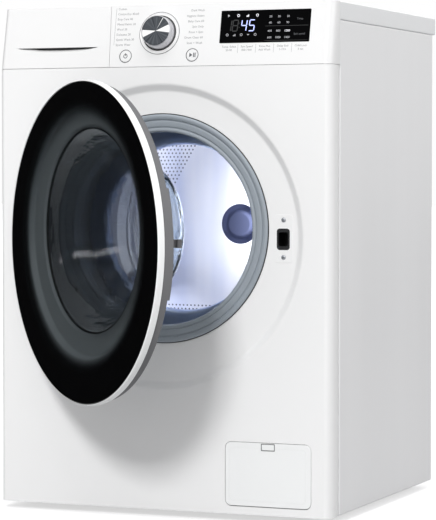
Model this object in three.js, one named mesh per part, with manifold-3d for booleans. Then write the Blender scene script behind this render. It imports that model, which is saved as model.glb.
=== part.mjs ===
// Front load washing machine, as an assembly of separate pieces.
//
// Millimetres. +X is to the right, +Y goes back into the machine and +Z is up. While the pieces are
// made, y = 0 is the face of the front panel and z = 0 is the floor. The finished group is moved at
// the end, so that its origin is the bottom centre of the box round everything at rest.
// The door is modelled shut and then swung open about its hinge by a group of its own.

import * as THREE from "three";
import { mergeVertices } from "three/addons/utils/BufferGeometryUtils.js";
import Module from "manifold-3d";

const wasm = await Module();
wasm.setup();

// ---------------------------------------------------------------- driving dimensions

// Cabinet
const WIDTH = 600;
const HEIGHT = 850;
const CABINET_BACK = 540; // rear face of the side panels
const LID_BACK = 556; // the top cover overhangs the rear
const LID_THICK = 30;
const LID_WALL = 3;
const GROUND_GAP = 12.5; // sheet metal above the floor
const SHEET = 1.0;
const FLANK = 43.7; // how far the front wraps round each side
const CORNER_X = 12; // the front corners are quarter ellipses in plan
const CORNER_Y = 24;
const RETURN_FLANGE = 14;
const SIDE_FLANGE = 30;
const FIT = 0.3; // clearance between neighbouring pieces
const HALF = WIDTH / 2;

// Control panel, which leans back
const PANEL_HEIGHT = 103.2;
const PANEL_LEAN = 21.5; // how far its top edge stands behind its bottom edge
const FASCIA_WALL = 2.6;
const SEAM_X = -92; // drawer front to the left, control panel to the right
const SEAM = 0.7;
const SEAM_DRIFT = 5.4; // how far the seam leans to the left as it rises

// Axis of drum, tub, bellows and door bowl
const AXIS_Z = 479.5;
const PORTHOLE_R = 184;

// Door surround in the front panel
const DISH_Z = 465.7;
const DISH_R = 252.1;
const DISH_FLOOR_R = 242.7;
const DISH_DEPTH = 8;

// Door
const DOOR_Z = 460.3;
const DOOR_GLASS_R = 257.8;
const DOOR_GLASS_THICK = 4;
const DOOR_RIM_WALL = 3.2;
const DOOR_RIM_DEPTH = 12.5;
const DOOR_FRAME_R = DOOR_GLASS_R + 1.2;
const DOOR_WEB = 23; // width of the frame's outer band
const DOOR_PROUD = 28.4; // outer face in front of the front panel when shut
const DOOR_BACK_GAP = 4.9; // back frame to front panel
const GRIP_GAP = 1.2; // the same at the thicker grip
const GRIP_HALF = 85;
const DOOR_OPEN = 37.5; // degrees, as it stands at rest
const HINGE_X = 7.8 - DOOR_GLASS_R;
const HINGE_Y = -15.5;
const HINGE_Z = 470;
const HINGE_HALF = 50;
const HINGE_PIN_R = 3;
const HINGE_KNUCKLE_R = 5.6;
const BOWL_DEPTH = 117;
const BOWL_WALL = 4.5;

// Door lock and latch
const LOCK_X = 215.5;
const LOCK_Z = 464;
const LOCK_W = 22.6;
const LOCK_H = 35;
const HOOK_REACH = 37; // behind the front panel's face when shut
const HOOK_W = 7;
const HOOK_H = 13;

// Bellows
const LIP_R = PORTHOLE_R - 25.5;
const BEAD_R = PORTHOLE_R + 5.5;
const RUBBER = 3;
const BOWL_R = LIP_R + 15.5;
const BOWL_FLANGE_R = BOWL_R + 10;

// Tub
const DRUM_R = 244;
const TUB_R = DRUM_R + 31;
const TUB_WALL = 3;
const TUB_FRONT = 104;
const TUB_SPLIT = 236;
const TUB_BACK = 419;
const NECK_R = PORTHOLE_R - 1;
const TUB_RIBS = 8;

// Drum
const DRUM_FRONT = 112;
const DRUM_BACK = 372;
const DRUM_MOUTH_R = NECK_R - 43;
const DRUM_SHEET = 1.2;
const DRUM_DISH = 17; // how far the drum's back is pressed forwards
const LIFTERS = 3;
const LIFTER_HEIGHT = 44;
const LIFTER_BASE = 66;
const LIFTER_TURN = -60; // degrees

// Shaft and direct drive
const SHAFT_R = 12.5;
const BEARING_R = 31;
const BEARING_W = 15;
const HUB_R = 40;
const STATOR_R = 118;
const ROTOR_R = 136;
const STATOR_TEETH = 18;

// Dial and push buttons, placed by x and by height up the leaning panel
const DIAL_X = -5.6;
const DIAL_UP = 56.9;
const DIAL_BASE_R = 28;
const DIAL_TOP_R = 25;
const DIAL_PROUD = 20;
const DIAL_RING_R = 35.5;
const BUTTON_R = 10;
const BUTTON_GAP = 0.35;
const BUTTON_UP = 18.7;
const POWER_X = -64;
const START_X = 56.3;

// Display window
const WINDOW_X = [103, 259.5];
const WINDOW_UP = [37.6, 92];

// Detergent drawer
const SLOT_X = [-267.6, -116.2];
const SLOT_Z = 781.5;
const SLOT_SAG = 8;
const SLOT_DEPTH = 18;
const HOUSING_X = [RETURN_FLANGE - HALF, SEAM_X - 5];
const HOUSING_FLOOR = 753;
const HOUSING_BACK = 330;
const PLASTIC = 2.5;
const TRAY_FRONT = 36;
const TRAY_BACK = 305;
const HOSE_X = -125; // the dispenser's outlet to the tub
const HOSE_Y = 300;

// Pump filter and its flap
const FLAP_X = [116.3, 267.3];
const FLAP_Z = [25.5, 132];
const FLAP_R = 11;
const FLAP_THICK = 2.5;
const FLAP_GAP = 0.8;
const FLAP_HINGE_Y = 4;
const FLAP_HINGE_UP = FLAP_R + 0.5; // above the opening's lower edge
const PUMP_X = 200;
const PUMP_Z = 80;
const PUMP_R = 36;
const PUMP_FRONT = 26;
const FILTER_R = 32;

// Feet and springs
const FOOT_X = 246;
const FOOT_Y = [102, 498];
const FOOT_R = 19;
const FOOT_STEM_R = 6;
const SPRING_X = HALF - 24;
const SPRING_Y = 385;
const SPRING_R = 11;
const SPRING_WIRE_R = 1.8;
const LUG_REACH = 13; // how far inside the spring's shank the tub's lug begins
const LUG_Z = 690;
const LUG_THICK = 10;
const DAMPER_Y = 300;
const DAMPER_LOW = 44;
const DAMPER_X = 150;
const TUB_FOOT_X = 172;

// Back of the cabinet
const HATCH_X = [-205, 205];
const HATCH_Z = [170, 690];
const VALVE_X = -190;
const VALVE_Z = 772;
const VALVE_NECK_R = 13;
const DRAIN_X = 205;
const DRAIN_Z = 735;
const DRAIN_NECK_R = 13;
const MAINS_X = 150;
const MAINS_Z = 782;
const MAINS_NECK_R = 8;
const SUMP_X = 40;
const SUMP_Y = 260;
const BOARD_Y = 17;
const BOARD_POSTS = [-78, 92, 262];
const BOARD_POST_UP = 96;

// Sides of round parts: door and its surround, tub and drum, small parts, plainest parts
const FINE = 26;
const BROAD = 24;
const DIAL_SIDES = 20;
const COARSE = 12;
const ROUGH = 8;

// ---------------------------------------------------------------- values that follow from them

const LID_Z = HEIGHT - LID_THICK;
const CABINET_TOP = LID_Z - FIT;
const PANEL_Z = HEIGHT - PANEL_HEIGHT;
const LEAN = Math.atan2(PANEL_LEAN, PANEL_HEIGHT);
const SIDE_FRONT = FLANK + FIT;
const DOOR_FACE = -DOOR_PROUD;
const RIM_BACK = DOOR_FACE + DOOR_RIM_DEPTH;
const FRAME_BACK = -DOOR_BACK_GAP;
const FRAME_SHEET = 2.5;
const FLAP_HINGE_Z = FLAP_Z[0] + FLAP_HINGE_UP;
const SHAFT_END = TUB_BACK + 62;
const HUB_Y = [TUB_BACK - 16, TUB_BACK + 34];
const TUB_FOOT_Z = AXIS_Z - Math.sqrt(TUB_R ** 2 - TUB_FOOT_X ** 2) - 22;
const PIVOT = [HINGE_X, HINGE_Y];
const BASE_Z = GROUND_GAP + SHEET + FIT;
const REAR_Y = [CABINET_BACK - SHEET - FIT - SHEET, CABINET_BACK - SHEET - FIT];
const REAR_HALF = HALF - SHEET - FIT;
const HOUSING_Z = [HOUSING_FLOOR, CABINET_TOP - SHEET - FIT];
const TRAY_X = [HOUSING_X[0] + PLASTIC + 2, HOUSING_X[1] - PLASTIC - 2];
const TRAY_Z = [HOUSING_Z[0] + PLASTIC + FIT, HOUSING_Z[1] - 14];

// ---------------------------------------------------------------- finishes

const finish = (color, roughness, metalness = 0) =>
  new THREE.MeshStandardMaterial({ color, roughness, metalness });
const WHITE_PAINT = finish(0xf1f2f3, 0.35);
const WHITE_PLASTIC = finish(0xf3f3f4, 0.4);
const GREY_PLASTIC = finish(0x9a9c9b, 0.5);
const BLACK_PLASTIC = finish(0x1b1c1e, 0.5);
const TUB_PLASTIC = finish(0xc9ccd0, 0.6);
const GLASS = finish(0xa9b6b8, 0.05);
const DARK_GLASS = finish(0x0b0d0f, 0.08);
const RUBBER_GREY = finish(0x878c92, 0.7);
const STAINLESS = finish(0xc9ccd2, 0.25, 1);
const ZINC = finish(0xa8acb0, 0.4, 1);
const ALUMINIUM = finish(0xb5b8bb, 0.35, 1);
const CONCRETE = finish(0x8f8d88, 0.9);
const COPPER = finish(0xa8632f, 0.4, 1);
const BOARD_GREEN = finish(0x1f5a36, 0.6);
const BLUE_PLASTIC = finish(0x2a4fa8, 0.5);

// ---------------------------------------------------------------- solid tools

// A closed geometry as a manifold solid, facing outwards.
function toSolid(geometry) {
  const shell = geometry.clone();
  for (const name of Object.keys(shell.attributes)) {
    if (name !== "position") shell.deleteAttribute(name);
  }
  const merged = mergeVertices(shell, 1e-4);
  const place = merged.attributes.position.array;
  const index = merged.index.array;
  const triangles = [];
  let volume = 0;
  const corners = [new THREE.Vector3(), new THREE.Vector3(), new THREE.Vector3()];
  for (let i = 0; i < index.length; i += 3) {
    const [a, b, c] = [index[i], index[i + 1], index[i + 2]];
    if (a === b || b === c || c === a) continue;
    triangles.push(a, b, c);
    [a, b, c].forEach((vertex, k) => corners[k].fromArray(place, 3 * vertex));
    volume += corners[0].dot(corners[1].cross(corners[2]));
  }
  if (volume < 0) triangles.reverse();
  return new wasm.Manifold(
    new wasm.Mesh({
      numProp: 3,
      vertProperties: Float32Array.from(place),
      triVerts: Uint32Array.from(triangles),
    }),
  );
}

const joined = (...solids) => solids.reduce((whole, next) => whole.add(next));
const cutFrom = (body, ...tools) => tools.reduce((whole, tool) => whole.subtract(tool), body);

function box([x0, x1], [y0, y1], [z0, z1]) {
  const block = new THREE.BoxGeometry(x1 - x0, y1 - y0, z1 - z0);
  return toSolid(block.translate((x0 + x1) / 2, (y0 + y1) / 2, (z0 + z1) / 2));
}

// Extruded upwards from an outline in plan, whose y is the machine's y.
function upright(outline, [z0, z1], curveSegments = 2) {
  const options = { depth: z1 - z0, bevelEnabled: false, curveSegments };
  return new THREE.ExtrudeGeometry(outline, options).translate(0, 0, z0);
}

// Extruded backwards from an outline drawn in the machine's x and z.
function backwards(outline, [y0, y1], curveSegments = 2) {
  const options = { depth: y1 - y0, bevelEnabled: false, curveSegments };
  return new THREE.ExtrudeGeometry(outline, options).rotateX(Math.PI / 2).translate(0, y1, 0);
}

// Revolved about an axis along y. The profile is a list of [radius, y].
function turned(profile, x, z, sides = FINE) {
  const points = profile.map(([radius, y]) => new THREE.Vector2(radius, y));
  const onAxis = points[0].x === 0 && points.at(-1).x === 0;
  if (!onAxis) points.push(points[0].clone());
  return new THREE.LatheGeometry(points, sides).translate(x, 0, z);
}

const disc = (radius, [y0, y1], x, z, sides = FINE) =>
  turned([[0, y0], [radius, y0], [radius, y1], [0, y1]], x, z, sides);

const tube = (outer, inner, [y0, y1], x, z, sides = FINE) =>
  turned([[inner, y0], [outer, y0], [outer, y1], [inner, y1]], x, z, sides);

// The corner radius of a faceted ring whose flats stay clear of a radius.
const clearOf = (radius, sides) => radius / Math.cos(Math.PI / sides);

// A round bar between two points.
function bar(radius, from, to, sides = 16, endRadius = radius) {
  const start = new THREE.Vector3(...from);
  const along = new THREE.Vector3(...to).sub(start);
  const length = along.length();
  const rod = new THREE.CylinderGeometry(endRadius, radius, length, sides).translate(0, length / 2, 0);
  const turn = new THREE.Quaternion().setFromUnitVectors(new THREE.Vector3(0, 1, 0), along.normalize());
  return toSolid(rod.applyQuaternion(turn).translate(start.x, start.y, start.z));
}

// The closed outline of a sheet of one thickness that follows a smooth line of [radius, y].
function ribbon(line, thickness, count) {
  const curve = new THREE.SplineCurve(line.map(([radius, y]) => new THREE.Vector2(radius, y)));
  const near = [];
  const far = [];
  for (let i = 0; i <= count; i += 1) {
    const middle = curve.getPoint(i / count);
    const along = curve.getTangent(i / count);
    const side = new THREE.Vector2(-along.y, along.x).multiplyScalar(thickness / 2);
    near.push([middle.x + side.x, middle.y + side.y]);
    far.unshift([middle.x - side.x, middle.y - side.y]);
  }
  return [...near, ...far];
}

function roundedRect([x0, x1], [z0, z1], radius) {
  const outline = new THREE.Shape();
  outline.absarc(x1 - radius, z1 - radius, radius, 0, Math.PI / 2);
  outline.absarc(x0 + radius, z1 - radius, radius, Math.PI / 2, Math.PI);
  outline.absarc(x0 + radius, z0 + radius, radius, Math.PI, 1.5 * Math.PI);
  outline.absarc(x1 - radius, z0 + radius, radius, 1.5 * Math.PI, 2 * Math.PI);
  return outline;
}

function polygon(points) {
  return new THREE.Shape(points.map(([x, y]) => new THREE.Vector2(x, y)));
}

// A point on the drum's axis circle of a given radius, as [x, z].
const around = (radius, angle) => [radius * Math.cos(angle), AXIS_Z + radius * Math.sin(angle)];

const turnedAboutAxis = (geometry, angle) =>
  geometry.translate(0, 0, -AXIS_Z).rotateY(-angle).translate(0, 0, AXIS_Z);

// The leaning control panel: x across, y into the panel, z up its slope, from its bottom edge.
const slope = new THREE.Matrix4()
  .makeTranslation(0, 0, PANEL_Z)
  .multiply(new THREE.Matrix4().makeRotationX(-LEAN));
const onSlope = (geometry) => geometry.applyMatrix4(slope);

const slopeBlock = ([x0, x1], ys, [up0, up1]) =>
  toSolid(onSlope(backwards(polygon([[x0, up0], [x1, up0], [x1, up1], [x0, up1]]), ys)));
const widened = ([low, high], by) => [low - by, high + by];

const machine = new THREE.Group();
const door = new THREE.Group();

function piece(name, solid, material, parent = machine) {
  const { numProp, vertProperties, triVerts } = solid.getMesh();
  const place = new Float32Array((vertProperties.length / numProp) * 3);
  for (let i = 0; i < place.length / 3; i += 1) {
    place.set(vertProperties.subarray(i * numProp, i * numProp + 3), 3 * i);
  }
  const indexed = new THREE.BufferGeometry();
  indexed.setAttribute("position", new THREE.BufferAttribute(place, 3));
  indexed.setIndex(new THREE.BufferAttribute(Uint32Array.from(triVerts), 1));
  const geometry = indexed.toNonIndexed();
  geometry.computeVertexNormals();
  const mesh = new THREE.Mesh(geometry, material);
  mesh.name = name;
  parent.add(mesh);
  return mesh;
}

// ---------------------------------------------------------------- cabinet

// The front seen from above: a straight face, two elliptic corners and two flanks.
function plan(inset, back) {
  const half = HALF - inset;
  const rx = CORNER_X - inset;
  const ry = CORNER_Y - inset;
  const outline = new THREE.Shape();
  outline.moveTo(half, back);
  outline.lineTo(half, CORNER_Y);
  outline.absellipse(half - rx, CORNER_Y, rx, ry, 0, -Math.PI / 2, true);
  outline.lineTo(rx - half, inset);
  outline.absellipse(rx - half, CORNER_Y, rx, ry, -Math.PI / 2, -Math.PI, true);
  outline.lineTo(-half, back);
  outline.closePath();
  return outline;
}

function frontPanel() {
  const rows = [GROUND_GAP, PANEL_Z - FIT];
  const inside = [rows[0] + SHEET, rows[1] - SHEET];
  const wrap = cutFrom(
    toSolid(upright(plan(0, FLANK), rows, 3)),
    toSolid(upright(plan(SHEET, FLANK - SHEET), inside, 3)),
    box([RETURN_FLANGE - HALF, HALF - RETURN_FLANGE], [FLANK - 2 * SHEET, FLANK + 1], inside),
    box([RETURN_FLANGE - HALF, HALF - RETURN_FLANGE], [RETURN_FLANGE, FLANK + 1], [rows[0] - 1, rows[1] + 1]),
  );
  const rim = DISH_R + 2;
  const dish = turned(
    [[0, DISH_DEPTH], [DISH_FLOOR_R, DISH_DEPTH], [DISH_R, 0], [rim, 0],
      [rim, SHEET], [DISH_R + 1, SHEET], [DISH_FLOOR_R + 0.6, DISH_DEPTH + SHEET], [0, DISH_DEPTH + SHEET]],
    0, DISH_Z,
  );
  const lip = turned(
    [[PORTHOLE_R + 5.5, DISH_DEPTH], [PORTHOLE_R, DISH_DEPTH + 4], [PORTHOLE_R, DISH_DEPTH + 16],
      [PORTHOLE_R + SHEET, DISH_DEPTH + 16], [PORTHOLE_R + SHEET, DISH_DEPTH + 5], [PORTHOLE_R + 6, DISH_DEPTH + SHEET]],
    0, AXIS_Z,
  );
  const slot = roundedRect([LOCK_X - LOCK_W / 2, LOCK_X + LOCK_W / 2], [LOCK_Z - LOCK_H / 2, LOCK_Z + LOCK_H / 2], 4);
  let panel = cutFrom(wrap, toSolid(disc(DISH_R + 1, [-1, 2 * SHEET], 0, DISH_Z)));
  panel = joined(panel, toSolid(dish));
  panel = cutFrom(
    panel,
    toSolid(disc(PORTHOLE_R + 5, [-1, DISH_DEPTH + 3], 0, AXIS_Z)),
    toSolid(backwards(slot, [-1, DISH_DEPTH + 3])),
    toSolid(backwards(roundedRect(FLAP_X, FLAP_Z, FLAP_R), [-1, 3 * SHEET])),
  );
  // Two ears behind the flap's opening carry its hinge pins.
  const ears = FLAP_X.map((edge, i) => {
    const sign = i === 0 ? 1 : -1;
    const xs = [edge - sign * 3, edge - sign * 1].sort((a, b) => a - b);
    const ear = box(xs, [0.5, 9], [FLAP_HINGE_Z - 6, FLAP_HINGE_Z + 6]);
    const bore = bar(1.8, [xs[0] - 1, FLAP_HINGE_Y, FLAP_HINGE_Z], [xs[1] + 1, FLAP_HINGE_Y, FLAP_HINGE_Z], 12);
    return cutFrom(ear, bore);
  });
  return joined(panel, toSolid(lip), ...ears);
}

// A pressed side: the outer sheet with flanges turned in all round, narrow ones in front and below.
function sidePanel(sign) {
  const span = (a, b) => [sign * a, sign * b].sort((p, q) => p - q);
  const rows = [GROUND_GAP, CABINET_TOP];
  const pan = box(span(HALF - SIDE_FLANGE, HALF), [SIDE_FRONT, CABINET_BACK], rows);
  const hollow = box(
    span(HALF - SIDE_FLANGE - 1, HALF - SHEET),
    [SIDE_FRONT + SHEET, CABINET_BACK - SHEET],
    [rows[0] + SHEET, rows[1] - SHEET],
  );
  const narrow = box(
    span(HALF - SIDE_FLANGE - 1, HALF - RETURN_FLANGE),
    [SIDE_FRONT - 1, CABINET_BACK - SHEET],
    [rows[0] - 1, rows[1] - SHEET],
  );
  return cutFrom(pan, hollow, narrow);
}

function rearPanel() {
  const sheet = box([-REAR_HALF, REAR_HALF], REAR_Y, [GROUND_GAP + SHEET + FIT, CABINET_TOP - SHEET - FIT]);
  const through = [REAR_Y[0] - 1, REAR_Y[1] + 1];
  const swages = [0, 1].map((row) =>
    box([-160, 90], [REAR_Y[0] - 1.5, REAR_Y[0] + 0.4], [722 + 26 * row, 728 + 26 * row]));
  return joined(
    cutFrom(
      sheet,
      toSolid(backwards(roundedRect(HATCH_X, HATCH_Z, 60), through)),
      toSolid(disc(VALVE_NECK_R + FIT, through, VALVE_X, VALVE_Z, ROUGH)),
      toSolid(disc(DRAIN_NECK_R + FIT, through, DRAIN_X, DRAIN_Z, ROUGH)),
      toSolid(disc(MAINS_NECK_R + FIT, through, MAINS_X, MAINS_Z, ROUGH)),
    ),
    ...swages,
  );
}

function rearCover() {
  const margin = 22;
  const xs = [HATCH_X[0] - margin, HATCH_X[1] + margin];
  const zs = [HATCH_Z[0] - margin, HATCH_Z[1] + margin];
  const y = REAR_Y[1] + FIT;
  const rise = 9;
  const field = (inset, radius) =>
    roundedRect([HATCH_X[0] + inset, HATCH_X[1] - inset], [HATCH_Z[0] + inset, HATCH_Z[1] - inset], radius);
  const plate = toSolid(backwards(roundedRect(xs, zs, 30), [y, y + SHEET]));
  const dome = toSolid(backwards(field(6, 54), [y, y + rise]));
  const hollow = toSolid(backwards(field(6 + SHEET, 53), [y - 1, y + rise - SHEET]));
  // Pressed ribs, each a half-round channel across the raised field.
  const ribs = [-1, 0, 1].map((row) => {
    const z = (HATCH_Z[0] + HATCH_Z[1]) / 2 + row * 130;
    return bar(5, [-150, y + rise - 2, z], [150, y + rise - 2, z], ROUGH);
  });
  const front = box([-300, 300], [y - 5, y + rise - SHEET], [0, HEIGHT]);
  return joined(cutFrom(joined(plate, dome), hollow), ...ribs.map((rib) => cutFrom(rib, front)));
}

function topCover() {
  const rows = [LID_Z, HEIGHT];
  const shell = box([-HALF, HALF], [SIDE_FRONT, LID_BACK], rows);
  const hollow = box([LID_WALL - HALF, HALF - LID_WALL], [SIDE_FRONT + LID_WALL, LID_BACK - LID_WALL],
    [rows[0] - 1, rows[1] - LID_WALL]);
  const ribs = [-1, 0, 1].map((row) =>
    box([-HALF + 1, HALF - 1], [300 + 130 * row - 1.2, 300 + 130 * row + 1.2], [rows[0] + 12, rows[1] - 1]));
  return joined(cutFrom(shell, hollow), ...ribs);
}

function basePan() {
  const wall = 2.2;
  const half = HALF - SHEET - FIT;
  const ys = [SIDE_FRONT + SHEET + FIT, REAR_Y[0] - FIT];
  const pan = cutFrom(
    box([-half, half], ys, [BASE_Z, BASE_Z + 26]),
    box([wall - half, half - wall], [ys[0] + wall, ys[1] - wall], [BASE_Z + wall, BASE_Z + 27]),
  );
  const bosses = [];
  const bores = [];
  for (const x of [-FOOT_X, FOOT_X]) {
    for (const y of FOOT_Y) {
      bosses.push(bar(15, [x, y, BASE_Z + 1], [x, y, BASE_Z + 24], ROUGH));
      bores.push(bar(FOOT_STEM_R + FIT, [x, y, BASE_Z - 1], [x, y, BASE_Z + 26], ROUGH));
    }
  }
  // Two rails carry the pump, two posts carry the dampers.
  const rails = [-1, 1].map((side) =>
    box([PUMP_X + side * 24 - 5, PUMP_X + side * 24 + 5], [60, 150], [BASE_Z + 1, PUMP_Z - PUMP_R - 5 - FIT]));
  const posts = [-1, 1].map((side) => bar(9, [side * DAMPER_X, DAMPER_Y, BASE_Z + 1], [side * DAMPER_X, DAMPER_Y, DAMPER_LOW], ROUGH));
  return cutFrom(joined(pan, ...bosses, ...rails, ...posts), ...bores);
}

function foot() {
  return joined(
    bar(FOOT_R, [0, 0, 0], [0, 0, 5], ROUGH),
    bar(FOOT_R, [0, 0, 5], [0, 0, 8], ROUGH, 11),
    bar(10, [0, 0, 7], [0, 0, BASE_Z - FIT], 6),
    bar(FOOT_STEM_R, [0, 0, 8], [0, 0, BASE_Z + 30], ROUGH),
  );
}

function buildCabinet() {
  piece("front_panel", frontPanel(), WHITE_PAINT);
  piece("side_panel_left", sidePanel(-1), WHITE_PAINT);
  piece("side_panel_right", sidePanel(1), WHITE_PAINT);
  piece("rear_panel", rearPanel(), WHITE_PAINT);
  piece("rear_cover", rearCover(), WHITE_PAINT);
  piece("top_cover", topCover(), WHITE_PLASTIC);
  piece("base_pan", basePan(), TUB_PLASTIC);
  const ends = ["front", "rear"];
  FOOT_Y.forEach((y, i) => {
    for (const [side, x] of [["left", -FOOT_X], ["right", FOOT_X]]) {
      const mesh = piece(`foot_${ends[i]}_${side}`, foot(), BLACK_PLASTIC);
      mesh.position.set(x, y, 0);
    }
  });
}

// ---------------------------------------------------------------- control panel

// The fascia's form, set in by a distance and run on below and behind by another: the front's plan,
// leaning back as it rises.
function fasciaSolid(inset = 0, spill = 0) {
  const bottom = PANEL_Z + FIT - spill;
  const top = HEIGHT - FIT - inset;
  const rate = PANEL_LEAN / PANEL_HEIGHT;
  const lean = new THREE.Matrix4().set(1, 0, 0, 0, 0, 1, rate, -rate * PANEL_Z, 0, 0, 1, 0, 0, 0, 0, 1);
  const whole = toSolid(upright(plan(inset, 4 * FLANK), [bottom, top], 3).applyMatrix4(lean));
  return whole.intersect(box([-HALF - 1, HALF + 1], [-5, FLANK + spill], [bottom - 1, top + 1]));
}

// The whole leaning fascia as a shell that is open below and behind.
const fasciaShell = () => fasciaSolid().subtract(fasciaSolid(FASCIA_WALL, 5));

// Everything on one side of the leaning seam: 1 is the control panel's side, -1 the drawer's.
function besideSeam(sign) {
  const near = SEAM_X + (sign * SEAM) / 2;
  const far = sign * (HALF + 1);
  const outline = polygon([[near, PANEL_Z], [far, PANEL_Z], [far, HEIGHT], [near - SEAM_DRIFT, HEIGHT]]);
  return toSolid(backwards(outline, [-1, FLANK + 1]));
}

function controlPanel() {
  const through = [-6, 9];
  const shell = cutFrom(
    fasciaShell().intersect(besideSeam(1)),
    slopeBlock(widened(WINDOW_X, FIT), through, widened(WINDOW_UP, FIT)),
    toSolid(onSlope(disc(DIAL_BASE_R + 1, through, DIAL_X, DIAL_UP, DIAL_SIDES))),
    ...[POWER_X, START_X].map((x) =>
      toSolid(onSlope(disc(BUTTON_R + BUTTON_GAP, through, x, BUTTON_UP, COARSE)))),
  );
  // A ledge behind the display, and a dished ring round the dial with a bored bearing for its shaft.
  const seat = cutFrom(
    slopeBlock(widened(WINDOW_X, 3), [2.2, 5], widened(WINDOW_UP, 3)),
    slopeBlock(widened(WINDOW_X, -3), [1, 6], widened(WINDOW_UP, -3)),
  );
  const ring = turned(
    [[DIAL_BASE_R + 0.6, 1.4], [DIAL_RING_R - 1, -0.5], [DIAL_RING_R, -0.5], [DIAL_RING_R, 1.5],
      [DIAL_BASE_R + 2, 3.2], [DIAL_BASE_R + 2, 9], [4.6, 9], [4.6, 7], [DIAL_BASE_R + 0.6, 7]],
    DIAL_X, DIAL_UP, DIAL_SIDES,
  );
  const guides = [POWER_X, START_X].map((x) =>
    toSolid(onSlope(tube(BUTTON_R + 2.4, BUTTON_R + BUTTON_GAP, [1, 7], x, BUTTON_UP, COARSE))));
  const posts = BOARD_POSTS.map((x) => toSolid(onSlope(disc(2.6, [2, BOARD_Y - FIT], x, BOARD_POST_UP, 8))));
  return joined(shell, seat, toSolid(onSlope(ring)), ...guides, ...posts);
}

// A hollow turned cap whose stem drops into the encoder; its face is a separate disc.
function dialKnob() {
  const top = -DIAL_PROUD;
  const shaft = 3.9;
  return toSolid(onSlope(turned(
    [[0, top + 4], [DIAL_TOP_R - 2, top + 4], [DIAL_TOP_R - 2, top], [DIAL_TOP_R, top + 1],
      [DIAL_BASE_R, -1], [DIAL_BASE_R, 2], [DIAL_BASE_R - 2, 2], [DIAL_TOP_R - 2, top + 6],
      [8, top + 6], [shaft, 4], [shaft, 15], [0, 15]],
    DIAL_X, DIAL_UP, DIAL_SIDES,
  )));
}

const dialFace = () => toSolid(onSlope(turned(
  [[0, 1.2 - DIAL_PROUD], [DIAL_TOP_R - 4, 0.4 - DIAL_PROUD], [DIAL_TOP_R - 2 - FIT, 0.7 - DIAL_PROUD],
    [DIAL_TOP_R - 2 - FIT, 4 - FIT - DIAL_PROUD], [0, 4 - FIT - DIAL_PROUD]],
  DIAL_X, DIAL_UP, DIAL_SIDES,
)));

const pushButton = (x) => toSolid(onSlope(turned(
  [[0, -0.4], [BUTTON_R - 0.8, -0.4], [BUTTON_R, 0.2], [BUTTON_R, 7.6], [BUTTON_R + 1.8, 7.6],
    [BUTTON_R + 1.8, 9], [4, 9], [3, 14.4], [0, 14.4]],
  x, BUTTON_UP, COARSE,
)));

const displayWindow = () => slopeBlock(WINDOW_X, [-0.2, 2.2 - FIT], WINDOW_UP);

// Circuit board with the display block, the dial's encoder and two small switches.
function controlBoard() {
  const back = BOARD_Y + 0.3;
  const part = (x, up, half, front) => slopeBlock(widened([x, x], half), [front, back], widened([up, up], half));
  const socket = toSolid(onSlope(disc(4.2, [BOARD_Y - 8, BOARD_Y - 1.5], DIAL_X, DIAL_UP, COARSE)));
  return joined(
    slopeBlock([POWER_X - 20, WINDOW_X[1] + 10], [BOARD_Y, BOARD_Y + 1.6], [8, 102]),
    slopeBlock(widened(WINDOW_X, -5), [6.5, back], widened(WINDOW_UP, -5)),
    cutFrom(part(DIAL_X, DIAL_UP, 7, BOARD_Y - 7.4), socket),
    part(POWER_X, BUTTON_UP, 3, BOARD_Y - 1.1),
    part(START_X, BUTTON_UP, 3, BOARD_Y - 1.1),
  );
}

function buildControls() {
  piece("control_panel", controlPanel(), WHITE_PLASTIC);
  piece("display_window", displayWindow(), DARK_GLASS);
  piece("dial_knob", dialKnob(), ALUMINIUM);
  piece("dial_face", dialFace(), ALUMINIUM);
  piece("power_button", pushButton(POWER_X), WHITE_PLASTIC);
  piece("start_button", pushButton(START_X), WHITE_PLASTIC);
  piece("control_board", controlBoard(), BOARD_GREEN);
}

// ---------------------------------------------------------------- detergent drawer

function slotOutline(grow) {
  const [x0, x1] = [SLOT_X[0] - grow, SLOT_X[1] + grow];
  const outline = new THREE.Shape();
  outline.moveTo(x0, SLOT_Z + grow);
  outline.quadraticCurveTo((x0 + x1) / 2, SLOT_Z - 2 * (SLOT_SAG + grow), x1, SLOT_Z + grow);
  outline.closePath();
  return outline;
}

function drawerFront() {
  const skin = fasciaShell().intersect(besideSeam(-1));
  const mid = (SLOT_X[0] + SLOT_X[1]) / 2;
  const reach = (SLOT_X[1] - SLOT_X[0]) / 2;
  // A pocket stands behind the slot; the hand goes in and up behind the skin.
  const pocketZ = [SLOT_Z - SLOT_SAG - 6, SLOT_Z + 22];
  const rateAt = (z) => (PANEL_LEAN / PANEL_HEIGHT) * (z - PANEL_Z);
  const pocket = box([mid - reach - 3, mid + reach + 3], [rateAt(pocketZ[0]) + 1.2, rateAt(SLOT_Z) + SLOT_DEPTH + 3],
    pocketZ).intersect(fasciaSolid());
  const hollow = box([mid - reach, mid + reach], [rateAt(SLOT_Z) + FASCIA_WALL, rateAt(SLOT_Z) + SLOT_DEPTH],
    [SLOT_Z - SLOT_SAG - 2, SLOT_Z + 19]);
  const mouth = toSolid(backwards(slotOutline(0), [-2, rateAt(SLOT_Z) + FASCIA_WALL + 3], 12));
  const inner = fasciaSolid(FASCIA_WALL);
  const lugs = [TRAY_X[0] + 20, TRAY_X[1] - 20].map((x) =>
    box([x - 6, x + 6], [rateAt(PANEL_Z + 16) + 1, TRAY_FRONT - FIT], [PANEL_Z + 12, PANEL_Z + 17]));
  return cutFrom(joined(skin, pocket, ...lugs), hollow.intersect(inner), mouth);
}

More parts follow.
